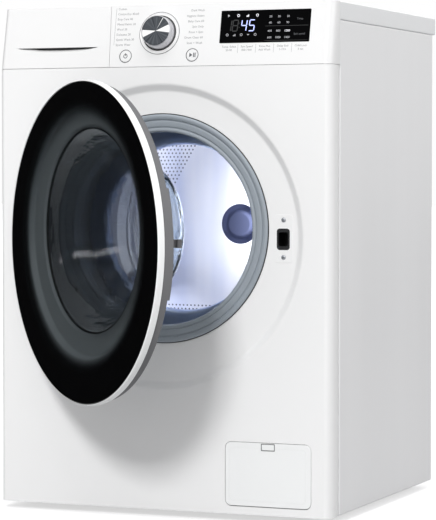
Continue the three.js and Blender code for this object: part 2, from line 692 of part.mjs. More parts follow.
function drawerTray() {
  const block = box(TRAY_X, [TRAY_FRONT, TRAY_BACK], TRAY_Z);
  const floor = TRAY_Z[0] + PLASTIC;
  const cell = (xs, ys, low) => box(xs, ys, [low, TRAY_Z[1] + 1]);
  const [x0, x1] = [TRAY_X[0] + PLASTIC, TRAY_X[1] - PLASTIC];
  const wash = cell([x0, x0 + 78], [TRAY_FRONT + 14, TRAY_BACK - PLASTIC], floor);
  const softener = cell([x0 + 81, x1], [TRAY_FRONT + 14, 160], floor);
  const prewash = cell([x0 + 81, x1], [163, TRAY_BACK - PLASTIC], floor + 8);
  const outlets = [0, 1].map((i) =>
    box([x0 + 12 + 90 * i, x0 + 52 + 90 * i], [TRAY_BACK - PLASTIC - 1, TRAY_BACK + 1], [floor + 8, floor + 26]));
  const siphonPost = bar(4, [x0 + 116, 130, floor - 1], [x0 + 116, 130, floor + 21], COARSE);
  return joined(cutFrom(block, wash, softener, prewash, ...outlets), siphonPost);
}

// A cap on the softener chamber's post: a lid plate with a fill opening and a bored dome.
function siphonCap() {
  const top = TRAY_Z[1];
  const [x0, x1] = [TRAY_X[0] + PLASTIC + 81 + FIT, TRAY_X[1] - PLASTIC - FIT];
  const plate = toSolid(upright(roundedRect([x0, x1], [96, 160 - FIT], 5), [top - 5, top - 3]));
  const post = [TRAY_X[0] + PLASTIC + 116, 130];
  const dome = bar(7.5, [...post, top - 24], [...post, top - 4], COARSE);
  const bore = bar(clearOf(4 + FIT, COARSE), [...post, top - 26], [...post, top - 8], COARSE);
  const grille = [-1, 0, 1].map((i) => box([x0 + 8, x0 + 22], [106 + 12 * (i + 1), 111 + 12 * (i + 1)], [top - 6, top - 2]));
  return cutFrom(joined(plate, dome), bore, ...grille);
}

function dispenserHousing() {
  const ys = [SIDE_FRONT + SHEET + 1.5, HOUSING_BACK];
  const shell = box(HOUSING_X, ys, HOUSING_Z);
  const hollow = box([HOUSING_X[0] + PLASTIC, HOUSING_X[1] - PLASTIC], [ys[0] - 1, ys[1] - PLASTIC],
    [HOUSING_Z[0] + PLASTIC, HOUSING_Z[1] - PLASTIC - 6]);
  const sump = bar(15, [HOSE_X, HOSE_Y, HOUSING_Z[0] - 10], [HOSE_X, HOSE_Y, HOUSING_Z[0] + 1], ROUGH);
  const drain = bar(12, [HOSE_X, HOSE_Y, HOUSING_Z[0] - 12], [HOSE_X, HOSE_Y, HOUSING_Z[0] + 4], ROUGH);
  const inlet = disc(10, [ys[1] - 1, ys[1] + 14], VALVE_X, VALVE_Z, ROUGH);
  const bore = disc(7.5, [ys[1] - 5, ys[1] + 15], VALVE_X, VALVE_Z, ROUGH);
  return cutFrom(joined(cutFrom(shell, hollow), sump, toSolid(inlet)), drain, toSolid(bore));
}

// Corrugated hose from the dispenser's outlet down to the tub.
function fillHose() {
  const top = HOUSING_Z[0] - 10 - FIT;
  const low = AXIS_Z + Math.sqrt(TUB_R ** 2 - HOSE_X ** 2) + 12 + FIT;
  const folds = 3;
  const points = [[11, 0]];
  const outer = 15.5;
  const length = top - low;
  for (let i = 0; i < folds; i += 1) {
    points.push([outer, (length * (i + 0.25)) / folds], [12.5, (length * (i + 0.75)) / folds]);
  }
  points.push([outer, length], [11, length]);
  const shape = points.map(([r, y]) => new THREE.Vector2(r, y));
  shape.push(shape[0].clone());
  return toSolid(new THREE.LatheGeometry(shape, ROUGH).rotateX(Math.PI / 2).translate(HOSE_X, HOSE_Y, low));
}

function buildDrawer() {
  piece("drawer_front", drawerFront(), WHITE_PLASTIC);
  piece("drawer_tray", drawerTray(), WHITE_PLASTIC);
  piece("softener_cap", siphonCap(), BLUE_PLASTIC);
  piece("dispenser_housing", dispenserHousing(), WHITE_PLASTIC);
  piece("fill_hose", fillHose(), BLACK_PLASTIC);
}

// ---------------------------------------------------------------- tub and suspension

function ringRibs(inner, outer, ys, count, thick) {
  return Array.from({ length: count }, (_, i) => {
    const slab = new THREE.BoxGeometry(outer - inner, ys[1] - ys[0], thick);
    slab.translate((outer + inner) / 2, (ys[0] + ys[1]) / 2, AXIS_Z);
    return toSolid(turnedAboutAxis(slab, (2 * Math.PI * (i + 0.5)) / count));
  });
}

function tubFront() {
  const inner = TUB_R - TUB_WALL;
  const shell = toSolid(turned(
    [[NECK_R - TUB_WALL, 66], [NECK_R, 66], [NECK_R, TUB_FRONT], [TUB_R, TUB_FRONT], [TUB_R, TUB_SPLIT - 5],
      [TUB_R + 9, TUB_SPLIT - 5], [TUB_R + 9, TUB_SPLIT - FIT], [inner, TUB_SPLIT - FIT], [inner, TUB_FRONT + TUB_WALL],
      [NECK_R - TUB_WALL, TUB_FRONT + TUB_WALL]],
    0, AXIS_Z, BROAD,
  ));
  const ribs = ringRibs(TUB_R - 1, TUB_R + 5, [TUB_FRONT + 6, TUB_SPLIT - 4], TUB_RIBS, 2.4);
  return joined(shell, ...ribs);
}

function tubRear() {
  const inner = TUB_R - TUB_WALL;
  const bore = clearOf(BEARING_R + FIT, BROAD);
  const shell = toSolid(turned(
    [[inner, TUB_SPLIT], [TUB_R + 9, TUB_SPLIT], [TUB_R + 9, TUB_SPLIT + 5], [TUB_R, TUB_SPLIT + 5], [TUB_R, TUB_BACK],
      [HUB_R, TUB_BACK], [HUB_R, HUB_Y[1]], [bore, HUB_Y[1]], [bore, HUB_Y[0]], [HUB_R, HUB_Y[0]],
      [HUB_R, TUB_BACK - TUB_WALL], [inner, TUB_BACK - TUB_WALL]],
    0, AXIS_Z, BROAD,
  ));
  const ribs = ringRibs(STATOR_R + 8, TUB_R - 1, [TUB_BACK - 1, TUB_BACK + 12], TUB_RIBS, 3);
  // Lugs for the springs above and the dampers below, and the two hose spigots.
  const lugs = [-1, 1].map((side) => {
    const root = [around(TUB_R - 8, 0.31 * Math.PI), around(TUB_R - 12, 0.24 * Math.PI)];
    const tip = SPRING_X + SPRING_R - LUG_REACH;
    const arm = polygon([root[0], [tip - 14, LUG_Z + LUG_THICK], [tip + 10, LUG_Z + LUG_THICK], [tip + 10, LUG_Z], root[1]]
      .map(([x, z]) => [side * x, z]));
    return toSolid(backwards(arm, widened([SPRING_Y, SPRING_Y], 5)));
  });
  const feet = [-1, 1].map((side) =>
    box([side * TUB_FOOT_X - 12, side * TUB_FOOT_X + 12], [DAMPER_Y - 7, DAMPER_Y + 7],
      [TUB_FOOT_Z, TUB_FOOT_Z + 50]));
  const inside = toSolid(disc(inner, [TUB_SPLIT, TUB_BACK - TUB_WALL], 0, AXIS_Z, BROAD));
  const low = AXIS_Z + Math.sqrt(TUB_R ** 2 - HOSE_X ** 2);
  const spigot = cutFrom(bar(11.5, [HOSE_X, HOSE_Y, low - 14], [HOSE_X, HOSE_Y, low + 12], ROUGH), inside);
  const sump = cutFrom(bar(17, [SUMP_X, SUMP_Y, AXIS_Z - TUB_R - 8], [SUMP_X, SUMP_Y, AXIS_Z - TUB_R + 20], COARSE), inside);
  return joined(shell, ...ribs, ...lugs.map((lug) => cutFrom(lug, inside)), ...feet.map((f) => cutFrom(f, inside)),
    spigot, sump);
}

// A concrete weight: a sector of a ring in front of the tub.
function counterweight(from, to) {
  const outline = new THREE.Shape();
  const [inner, outer] = [NECK_R + 11, TUB_R - 13];
  outline.absarc(0, AXIS_Z, outer, from, to);
  outline.absarc(0, AXIS_Z, inner, to, from, true);
  const block = toSolid(backwards(outline, [72, TUB_FRONT - FIT], 5));
  const holes = [0.15, 0.85].map((t) => {
    const [x, z] = around((inner + outer) / 2, from + (to - from) * t);
    return toSolid(disc(7, [60, TUB_FRONT + 1], x, z, ROUGH));
  });
  return cutFrom(block, ...holes);
}

class Helix extends THREE.Curve {
  constructor(radius, rise, turns) {
    super();
    this.radius = radius;
    this.rise = rise;
    this.turns = turns;
  }

  getPoint(t, target = new THREE.Vector3()) {
    const angle = 2 * Math.PI * this.turns * t;
    return target.set(this.radius * Math.cos(angle), this.radius * Math.sin(angle), this.rise * t);
  }
}

// A tension spring with a straight shank at each end.
function spring() {
  const turns = 4;
  const low = LUG_Z + LUG_THICK + FIT;
  const high = CABINET_TOP - SHEET - FIT;
  const shank = 9;
  const wire = new THREE.Shape();
  wire.absarc(0, 0, SPRING_WIRE_R, 0, 2 * Math.PI);
  const path = new Helix(SPRING_R, high - low - 2 * shank, turns);
  const coil = new THREE.ExtrudeGeometry(wire, { steps: turns * ROUGH, curveSegments: 2, extrudePath: path });
  const ends = [[low, low + shank + 1], [high - shank - 1, high]].map((zs) =>
    bar(SPRING_WIRE_R, [SPRING_R, 0, zs[0]], [SPRING_R, 0, zs[1]], 5));
  return joined(toSolid(coil.translate(0, 0, low + shank)), ...ends);
}

// A strut that leans in from the base to the tub, with an upright eye at each end.
function damper(side) {
  const low = [side * DAMPER_X, DAMPER_Y, DAMPER_LOW + FIT];
  const high = [side * TUB_FOOT_X, DAMPER_Y, TUB_FOOT_Z - FIT];
  const raised = ([x, y, z], rise) => [x, y, z + rise];
  const start = new THREE.Vector3(...raised(low, 6));
  const end = new THREE.Vector3(...raised(high, -6));
  const at = (t) => start.clone().lerp(end, t).toArray();
  return joined(
    bar(7, low, raised(low, 10), ROUGH),
    bar(7, high, raised(high, -10), ROUGH),
    bar(15, at(0.04), at(0.58), ROUGH),
    bar(6, at(0), at(1), ROUGH),
  );
}

// From the bead on the panel's lip, over the sealing lip, then back in folds to the tub's neck.
function bellows() {
  const bead = BEAD_R - RUBBER / 2;
  const neck = NECK_R + FIT + RUBBER / 2;
  return toSolid(turned(ribbon(
    [[bead, 5.8], [bead - 7, 7.8], [LIP_R + 14, 12.4], [LIP_R + 2.5, 9.8], [LIP_R + 7.5, 18], [NECK_R - 7, 29],
      [LIP_R + 6.5, 42], [NECK_R - 6, 54], [neck + 0.6, 61], [neck, 70], [neck, 80]],
    RUBBER, 10,
  ), 0, AXIS_Z, BROAD));
}

function buildTub() {
  piece("door_bellows", bellows(), RUBBER_GREY);
  piece("tub_front", tubFront(), TUB_PLASTIC);
  piece("tub_rear", tubRear(), TUB_PLASTIC);
  const sector = 0.3 * Math.PI;
  piece("counterweight_upper", counterweight(Math.PI / 2 - sector, Math.PI / 2 + sector), CONCRETE);
  piece("counterweight_lower", counterweight(1.5 * Math.PI - sector, 1.5 * Math.PI + sector), CONCRETE);
  for (const [side, sign] of [["left", -1], ["right", 1]]) {
    const coil = piece(`suspension_spring_${side}`, spring(), ZINC);
    coil.position.set(sign * SPRING_X, SPRING_Y, 0);
    piece(`damper_${side}`, damper(sign), BLACK_PLASTIC);
  }
}

// ---------------------------------------------------------------- drum and drive

// The rolled shell, with a stiffening swage round its middle.
function drumShell() {
  const middle = (DRUM_FRONT + DRUM_BACK) / 2;
  const line = [[0, DRUM_FRONT + FIT], [0, middle - 8], [2, middle], [0, middle + 8], [0, DRUM_BACK - FIT]];
  const outer = line.map(([rise, y]) => [DRUM_R + rise, y]);
  const inner = line.map(([rise, y]) => [DRUM_R - DRUM_SHEET + rise, y]).reverse();
  return toSolid(turned([...outer, ...inner], 0, AXIS_Z, BROAD));
}

function drumFront() {
  return toSolid(turned(ribbon(
    [[DRUM_R - 0.4, DRUM_FRONT - DRUM_SHEET / 2], [DRUM_R - 18, DRUM_FRONT - 0.8],
      [DRUM_MOUTH_R + 46, DRUM_FRONT - 1], [DRUM_MOUTH_R + 23, DRUM_FRONT - 8], [DRUM_MOUTH_R + 10, DRUM_FRONT - 16],
      [DRUM_MOUTH_R + 2, DRUM_FRONT - 14], [DRUM_MOUTH_R + 0.6, DRUM_FRONT - 5]],
    DRUM_SHEET, 5,
  ), 0, AXIS_Z, BROAD));
}

// A dished end, pressed forwards to a flat middle where the spider's hub is bolted.
function drumBack() {
  const line = [[DRUM_R, 0], [DRUM_R - 14, -0.6], [DRUM_R - 48, -8], [DRUM_R - 94, -15], [HUB_R + 4, -DRUM_DISH],
    [0, -DRUM_DISH]];
  const face = line.map(([radius, rise]) => [radius, DRUM_BACK + rise]).reverse();
  const back = line.map(([radius, rise]) => [radius, DRUM_BACK + DRUM_SHEET + rise]);
  return toSolid(turned([...face, ...back], 0, AXIS_Z, BROAD));
}

function lifter(index) {
  const length = [DRUM_FRONT + 20, DRUM_BACK - 14];
  const inner = DRUM_R - DRUM_SHEET;
  const top = inner - LIFTER_HEIGHT;
  const half = LIFTER_BASE / 2;
  const section = new THREE.Shape();
  section.moveTo(-half, AXIS_Z - inner - 1);
  section.quadraticCurveTo(-half * 0.42, AXIS_Z - inner + 12, -9, AXIS_Z - top - 5);
  section.quadraticCurveTo(0, AXIS_Z - top + 6, 9, AXIS_Z - top - 5);
  section.quadraticCurveTo(half * 0.42, AXIS_Z - inner + 12, half, AXIS_Z - inner - 1);
  section.closePath();
  const fin = toSolid(backwards(section, length, 4));
  // Seen from the side it tapers at both ends.
  const low = AXIS_Z - inner - 2;
  const side = new THREE.Shape();
  side.moveTo(length[0], low);
  side.quadraticCurveTo(length[0] + 4, AXIS_Z - top - 6, length[0] + 42, AXIS_Z - top + 2);
  side.lineTo(length[1] - 36, AXIS_Z - top + 2);
  side.quadraticCurveTo(length[1] - 4, AXIS_Z - top - 6, length[1], low);
  side.closePath();
  const slab = new THREE.ExtrudeGeometry(side, { depth: 2 * half + 4, bevelEnabled: false, curveSegments: 6 });
  slab.applyMatrix4(new THREE.Matrix4().set(0, 0, 1, -half - 2, 1, 0, 0, 0, 0, 1, 0, 0, 0, 0, 0, 1));
  const round = toSolid(disc(inner - FIT, [length[0] - 1, length[1] + 1], 0, AXIS_Z, BROAD));
  const shaped = fin.intersect(toSolid(slab)).intersect(round);
  const turn = (360 / LIFTERS) * index + LIFTER_TURN;
  return shaped.translate(0, 0, -AXIS_Z).rotate(0, turn, 0).translate(0, 0, AXIS_Z);
}

// Aluminium cross with its steel shaft.
function drumSpider() {
  const back = DRUM_BACK + DRUM_SHEET - DRUM_DISH + FIT;
  const hub = toSolid(turned(
    [[0, back], [38, back], [38, back + 12], [20, HUB_Y[0] - FIT], [SHAFT_R, HUB_Y[0] - FIT], [SHAFT_R, SHAFT_END],
      [0, SHAFT_END]],
    0, AXIS_Z, BROAD,
  ));
  const arms = Array.from({ length: LIFTERS }, (_, i) => {
    const outline = polygon([[20, AXIS_Z - 15], [DRUM_R - 14, AXIS_Z - 8], [DRUM_R - 6, AXIS_Z], [DRUM_R - 14, AXIS_Z + 8],
      [20, AXIS_Z + 15]]);
    const arm = backwards(outline, [DRUM_BACK + DRUM_SHEET + FIT, DRUM_BACK + 16]);
    return toSolid(turnedAboutAxis(arm, (2 * Math.PI * i) / LIFTERS + 0.3));
  });
  return joined(hub, ...arms);
}

const bearing = (y) =>
  toSolid(tube(BEARING_R, clearOf(SHAFT_R + FIT, COARSE), [y, y + BEARING_W], 0, AXIS_Z, COARSE));

function stator() {
  const outline = new THREE.Shape();
  const pitch = (2 * Math.PI) / STATOR_TEETH;
  const point = (radius, angle) => new THREE.Vector2(radius * Math.cos(angle), AXIS_Z + radius * Math.sin(angle));
  const points = [];
  for (let i = 0; i < STATOR_TEETH; i += 1) {
    const a = i * pitch;
    points.push(point(82, a - 0.3 * pitch), point(STATOR_R, a - 0.3 * pitch),
      point(STATOR_R, a + 0.3 * pitch), point(82, a + 0.3 * pitch));
  }
  outline.setFromPoints(points);
  const hole = new THREE.Path();
  hole.absarc(0, AXIS_Z, HUB_R + 2, 0, 2 * Math.PI, true);
  outline.holes.push(hole);
  return toSolid(backwards(outline, [TUB_BACK + FIT, TUB_BACK + 30], ROUGH));
}

function rotor() {
  const back = TUB_BACK + 46;
  const cup = toSolid(turned(
    [[SHAFT_R + FIT, back - 8], [30, back - 8], [34, back], [ROTOR_R - 4, back], [ROTOR_R - 3, TUB_BACK + 15],
      [ROTOR_R, TUB_BACK + 15], [ROTOR_R, back + 3], [28, back + 4],
      [clearOf(SHAFT_R + FIT, BROAD), back + 8]],
    0, AXIS_Z, BROAD,
  ));
  const windows = Array.from({ length: 6 }, (_, i) => {
    const [x, z] = around(84, (Math.PI * i) / 3);
    return toSolid(disc(19, [back - 4, back + 6], x, z, ROUGH));
  });
  return cutFrom(cup, ...windows);
}

function buildDrum() {
  piece("drum_shell", drumShell(), STAINLESS);
  piece("drum_front", drumFront(), STAINLESS);
  piece("drum_back", drumBack(), STAINLESS);
  for (let i = 0; i < LIFTERS; i += 1) piece(`drum_lifter_${i + 1}`, lifter(i), TUB_PLASTIC);
  piece("drum_spider", drumSpider(), ALUMINIUM);
  piece("bearing_front", bearing(HUB_Y[0]), ZINC);
  piece("bearing_rear", bearing(HUB_Y[1] - BEARING_W), ZINC);
  piece("stator", stator(), COPPER);
  piece("rotor", rotor(), ZINC);
}

// ---------------------------------------------------------------- door

const doorPocket = () =>
  box([HINGE_X - 24, HINGE_X + 44], [HINGE_Y - 6.3, 20], [HINGE_Z - HINGE_HALF - 2, HINGE_Z + HINGE_HALF + 2]);

function doorRim() {
  const outer = DOOR_GLASS_R + DOOR_RIM_WALL + FIT;
  const bore = DOOR_GLASS_R + FIT;
  const glassBack = DOOR_FACE + DOOR_GLASS_THICK + FIT;
  const ring = toSolid(turned(
    [[bore, glassBack], [bore, DOOR_FACE - 0.2], [outer - 1.4, DOOR_FACE - 0.5], [outer - 0.3, DOOR_FACE + 0.8],
      [outer, DOOR_FACE + 3], [outer, RIM_BACK], [bore - 1.2, RIM_BACK], [bore - 1.2, glassBack + 2],
      [DOOR_GLASS_R - 14, glassBack + 2], [DOOR_GLASS_R - 14, glassBack]],
    0, DOOR_Z,
  ));
  return cutFrom(ring, doorPocket());
}

function doorGlass() {
  const edge = 1.2;
  return toSolid(turned(
    [[0, DOOR_FACE - 1.4], [DOOR_GLASS_R * 0.5, DOOR_FACE - 1.1], [DOOR_GLASS_R * 0.82, DOOR_FACE - 0.5],
      [DOOR_GLASS_R - edge, DOOR_FACE], [DOOR_GLASS_R, DOOR_FACE + edge], [DOOR_GLASS_R, DOOR_FACE + DOOR_GLASS_THICK],
      [0, DOOR_FACE + DOOR_GLASS_THICK]],
    0, DOOR_Z,
  ));
}

function doorFrame() {
  const inner = DOOR_FRAME_R - FRAME_SHEET;
  const plateFront = FRAME_BACK - FRAME_SHEET;
  const shell = toSolid(turned(
    [[inner, RIM_BACK + FIT], [DOOR_FRAME_R, RIM_BACK + FIT], [DOOR_FRAME_R, FRAME_BACK - 1.5],
      [DOOR_FRAME_R - 1.5, FRAME_BACK], [0, FRAME_BACK], [0, plateFront], [inner, plateFront]],
    0, DOOR_Z,
  ));
  // The collar that holds the bowl's flange rises towards the glass.
  const collar = toSolid(tube(BOWL_FLANGE_R + 3, BOWL_FLANGE_R + 0.6, [-20, plateFront + 0.5], 0, AXIS_Z));
  const web = toSolid(tube(DOOR_FRAME_R - 1, DOOR_FRAME_R - DOOR_WEB, [plateFront - 3, plateFront + 0.4], 0, DOOR_Z));
  const grip = toSolid(tube(DOOR_FRAME_R, DOOR_FRAME_R - DOOR_WEB, [FRAME_BACK - 1, -GRIP_GAP], 0, DOOR_Z))
    .intersect(box([0, HALF], [-20, 5], [LOCK_Z - GRIP_HALF, LOCK_Z + GRIP_HALF]));
  const housing = box([LOCK_X - 14, LOCK_X + 12], [-17, FRAME_BACK - 1], [LOCK_Z - 12, LOCK_Z + 12]);
  const hookWay = box([LOCK_X - HOOK_W / 2 - 4.5, LOCK_X + HOOK_W / 2 + 4.5], [-15, 3],
    [LOCK_Z - HOOK_H / 2 - FIT, LOCK_Z + HOOK_H / 2 + FIT]);
  const whole = joined(shell, collar, web, grip, housing);
  const leafSeat = box([HINGE_X + 46, HINGE_X + 49], [HINGE_Y - 4, plateFront + 0.5],
    [HINGE_Z - HINGE_HALF + 4, HINGE_Z + HINGE_HALF - 4]);
  return cutFrom(
    joined(whole, leafSeat),
    toSolid(disc(BOWL_R + FIT, [-30, 5], 0, AXIS_Z)),
    doorPocket(),
    hookWay,
  );
}

// The bowl that pushes the washing back: a flange held by the frame, a cone and a nearly flat floor.
function doorBowl() {
  const lipBack = FRAME_BACK - FRAME_SHEET - FIT;
  const w = BOWL_WALL;
  const floor = LIP_R - 66.5;
  return toSolid(turned(
    [[BOWL_R - w, lipBack - w], [BOWL_FLANGE_R, lipBack - w], [BOWL_FLANGE_R, lipBack], [BOWL_R, lipBack],
      [LIP_R - 1.5, 8], [LIP_R - 9.5, 26], [floor + 14, BOWL_DEPTH - 20], [floor, BOWL_DEPTH - w], [0, BOWL_DEPTH],
      [0, BOWL_DEPTH - w], [floor - 3, BOWL_DEPTH - 2 * w], [floor + 9.5, BOWL_DEPTH - 22], [LIP_R - 14, 25.5],
      [LIP_R - 5, 4]],
    0, AXIS_Z,
  ));
}

// Fixed half of the hinge: a plate on the surround and two goosenecks that reach out to the pin.
function hingeBracket() {
  const plateBack = DISH_DEPTH - FIT;
  const plate = box([HINGE_X + 18, HINGE_X + 46], [plateBack - 1.5, plateBack], [HINGE_Z - 44, HINGE_Z + 44]);
  const neck = new THREE.Shape();
  neck.absarc(HINGE_X, HINGE_Y, HINGE_KNUCKLE_R, Math.PI / 2, 1.5 * Math.PI);
  neck.lineTo(HINGE_X + 18, HINGE_Y - HINGE_KNUCKLE_R);
  neck.quadraticCurveTo(HINGE_X + 29, HINGE_Y - HINGE_KNUCKLE_R, HINGE_X + 29, HINGE_Y + 6);
  neck.lineTo(HINGE_X + 29, plateBack - 1);
  neck.lineTo(HINGE_X + 20, plateBack - 1);
  neck.lineTo(HINGE_X + 20, HINGE_Y + 10);
  neck.quadraticCurveTo(HINGE_X + 20, HINGE_Y + HINGE_KNUCKLE_R, HINGE_X + 14, HINGE_Y + HINGE_KNUCKLE_R);
  neck.closePath();
  const arms = [[-44, -36], [36, 44]].map(([a, b]) => toSolid(upright(neck, [HINGE_Z + a, HINGE_Z + b])));
  const bore = bar(clearOf(HINGE_PIN_R + FIT, COARSE), [...PIVOT, HINGE_Z - 60], [...PIVOT, HINGE_Z + 60], COARSE);
  return cutFrom(joined(plate, ...arms), bore);
}

const hingePin = () => joined(
  bar(HINGE_PIN_R, [...PIVOT, HINGE_Z - 46], [...PIVOT, HINGE_Z + 46], COARSE),
  bar(HINGE_PIN_R + 1.8, [...PIVOT, HINGE_Z + 44 + FIT], [...PIVOT, HINGE_Z + 47], COARSE),
);

// Moving half: a knuckle on the pin and a leaf screwed to the door's frame.
function hingeLeaf() {
  const rows = [HINGE_Z - 36 + FIT, HINGE_Z + 36 - FIT];
  const knuckle = bar(HINGE_KNUCKLE_R, [...PIVOT, rows[0]], [...PIVOT, rows[1]], COARSE);
  const leaf = box([HINGE_X, HINGE_X + 43.7], [HINGE_Y - HINGE_KNUCKLE_R, HINGE_Y - HINGE_KNUCKLE_R + 2.2], rows);
  const bore = bar(clearOf(HINGE_PIN_R + FIT, COARSE), [...PIVOT, HINGE_Z - 60], [...PIVOT, HINGE_Z + 60], COARSE);
  return cutFrom(joined(knuckle, leaf), bore);
}

function latchHook() {
  const half = HOOK_W / 2;
  const outline = new THREE.Shape();
  const [x, tip] = [LOCK_X, HOOK_REACH];
  outline.absarc(x, -10.5, half, Math.PI, 2 * Math.PI);
  outline.lineTo(x + half, tip - 16);
  outline.lineTo(x + half - 2.6, tip - 16);
  outline.lineTo(x + half - 2.6, tip - 11);
  outline.lineTo(x + half + 1.5, tip - 11);
  outline.quadraticCurveTo(x + half + 1, tip - 2, x - half + 1, tip);
  outline.lineTo(x - half, tip - 2);
  outline.closePath();
  return toSolid(upright(outline, [LOCK_Z - HOOK_H / 2, LOCK_Z + HOOK_H / 2]));
}

function doorLock() {
  const wall = 2;
  const front = DISH_DEPTH + SHEET + FIT;
  const case_ = box([200, 234], [front, 50], [LOCK_Z - 36, LOCK_Z + 36]);
  const cavity = box([LOCK_X - LOCK_W / 2 - 1, LOCK_X + LOCK_W / 2 + 1], [front - 1, 50 - wall],
    [LOCK_Z - LOCK_H / 2 - 1, LOCK_Z + LOCK_H / 2 + 1]);
  return cutFrom(case_, cavity);
}

function buildDoor() {
  const shut = new THREE.Group();
  shut.position.set(-HINGE_X, -HINGE_Y, 0);
  door.position.set(HINGE_X, HINGE_Y, 0);
  door.rotation.z = THREE.MathUtils.degToRad(-DOOR_OPEN);
  door.add(shut);
  machine.add(door);
  piece("door_rim", doorRim(), WHITE_PLASTIC, shut);
  piece("door_glass", doorGlass(), DARK_GLASS, shut);
  piece("door_frame", doorFrame(), GREY_PLASTIC, shut);
  piece("door_bowl", doorBowl(), GLASS, shut);
  piece("door_hinge_leaf", hingeLeaf(), ZINC, shut);
  piece("latch_hook", latchHook(), TUB_PLASTIC, shut);
  piece("door_hinge_bracket", hingeBracket(), ZINC);
  piece("door_hinge_pin", hingePin(), ZINC);
  piece("door_lock", doorLock(), BLACK_PLASTIC);
}

// ---------------------------------------------------------------- water side

function filterFlap() {
  const xs = [FLAP_X[0] + FLAP_GAP, FLAP_X[1] - FLAP_GAP];
  const zs = [FLAP_Z[0] + FLAP_GAP + 0.4, FLAP_Z[1] - FLAP_GAP];
  const face = toSolid(backwards(roundedRect(xs, zs, FLAP_R - 1), [0, FLAP_THICK]));
  const catchX = (FLAP_X[0] + FLAP_X[1]) / 2;
  // The finger catch: a tongue freed by a slot on three sides, with a hook behind it.
  const slot = cutFrom(
    box([catchX - 12, catchX + 12], [-1, FLAP_THICK + 1], [zs[1] - 13, zs[1] - 1.6]),
    box([catchX - 10.6, catchX + 10.6], [-2, FLAP_THICK + 2], [zs[1] - 11.4, zs[1]]),
  );
  const tongue = box([catchX - 8, catchX + 8], [FLAP_THICK - 0.5, 8], [zs[1] - 6, zs[1] - 3.5]);
  const lugs = xs.map((edge, i) => {
    const sign = i === 0 ? 1 : -1;
    const lug = [edge, edge + sign * 8].sort((a, b) => a - b);
    const pin = [edge - sign * 3.2, edge + sign * 2];
    return joined(
      box(lug, [FLAP_THICK - 0.5, FLAP_HINGE_Y + 2.5], [FLAP_HINGE_Z - 2.5, FLAP_HINGE_Z + 9]),
      bar(1.5, [pin[0], FLAP_HINGE_Y, FLAP_HINGE_Z], [pin[1], FLAP_HINGE_Y, FLAP_HINGE_Z], 12),
    );
  });
  return cutFrom(joined(face, tongue, ...lugs), slot);
}

function drainPump() {
  const mouth = clearOf(FILTER_R + FIT, COARSE);
  const chamber = toSolid(turned(
    [[mouth, PUMP_FRONT], [PUMP_R, PUMP_FRONT], [PUMP_R, 118], [30, 122], [30, 176], [26, 182], [0, 182],
      [0, 112], [mouth, 112]],
    PUMP_X, PUMP_Z, COARSE,
  ));
  const feet = [-1, 1].map((side) =>
    box([PUMP_X + side * 24 - 6, PUMP_X + side * 24 + 6], [66, 112], [PUMP_Z - PUMP_R - 5, PUMP_Z - 26]));
  const bore = toSolid(disc(mouth, [PUMP_FRONT - 1, 112], PUMP_X, PUMP_Z, COARSE));
  const inlet = bar(17, [PUMP_X - 24, 90, PUMP_Z + 12], [PUMP_X - 62, 90, PUMP_Z + 40], COARSE);
  return cutFrom(joined(chamber, ...feet, inlet), bore);
}

// Screw-in trap: a winged cap, and a cage of fins that holds back coins.
function pumpFilter() {
  const cap = toSolid(turned(
    [[0, 19], [PUMP_R - 1, 19], [PUMP_R, 20.5], [PUMP_R, PUMP_FRONT - FIT], [FILTER_R, PUMP_FRONT - FIT],
      [FILTER_R, 44], [0, 44]],
    PUMP_X, PUMP_Z, COARSE,
  ));
  const wing = toSolid(backwards(roundedRect([PUMP_X - 26, PUMP_X + 26], [PUMP_Z - 4, PUMP_Z + 4], 3.5), [8, 19.5]));
  const fins = [0, 1, 2, 3].map((i) => {
    const fin = new THREE.BoxGeometry(48, 56, 2.4).translate(0, 71, 0).rotateY((i * Math.PI) / 4);
    return toSolid(fin.translate(PUMP_X, 0, PUMP_Z));
  });
  return joined(cap, wing, ...fins);
}

function sumpHose() {
  const from = [SUMP_X, SUMP_Y, AXIS_Z - TUB_R - 8 - FIT];
  const to = [PUMP_X - 62, 90, PUMP_Z + 40];
  const out = new THREE.Vector3(-38, 0, 28).normalize();
  const start = new THREE.Vector3(...to).addScaledVector(out, FIT);
  const path = new THREE.CatmullRomCurve3([
    start,
    start.clone().addScaledVector(out, 18),
    new THREE.Vector3(SUMP_X + 14, 190, from[2] - 40),
    new THREE.Vector3(from[0], from[1], from[2] - 16),
    new THREE.Vector3(...from),
  ]);
  const ring = new THREE.Shape();
  ring.absarc(0, 0, 17, 0, 2 * Math.PI);
  return toSolid(new THREE.ExtrudeGeometry(ring, { steps: 12, curveSegments: 4, extrudePath: path }));
}

// Solenoid valve: threaded inlet through the rear panel, body inside, outlet forwards.
function inletValve() {
  const inside = REAR_Y[0] - FIT;
  const gland = toSolid(turned(
    [[9, inside - 20], [17, inside - 20], [17, inside - 3], [21, inside - 3], [21, inside], [VALVE_NECK_R, inside],
      [VALVE_NECK_R, LID_BACK - 4], [9, LID_BACK - 4]],
    VALVE_X, VALVE_Z, ROUGH,
  ));
  const body = box([VALVE_X - 22, VALVE_X + 22], [inside - 56, inside - 16], [VALVE_Z - 18, VALVE_Z + 20]);
  const coil = bar(14, [VALVE_X + 2, inside - 36, VALVE_Z + 18], [VALVE_X + 2, inside - 36, VALVE_Z + 40], ROUGH);
  const outlet = toSolid(disc(6, [inside - 76, inside - 54], VALVE_X, VALVE_Z, ROUGH));
  return joined(gland, body, coil, outlet);
}

function inletHose() {
  const from = HOUSING_BACK + 14 + FIT;
  const to = REAR_Y[0] - FIT - 76 - FIT;
  return toSolid(tube(9, 6.3, [from, to], VALVE_X, VALVE_Z, ROUGH));
}

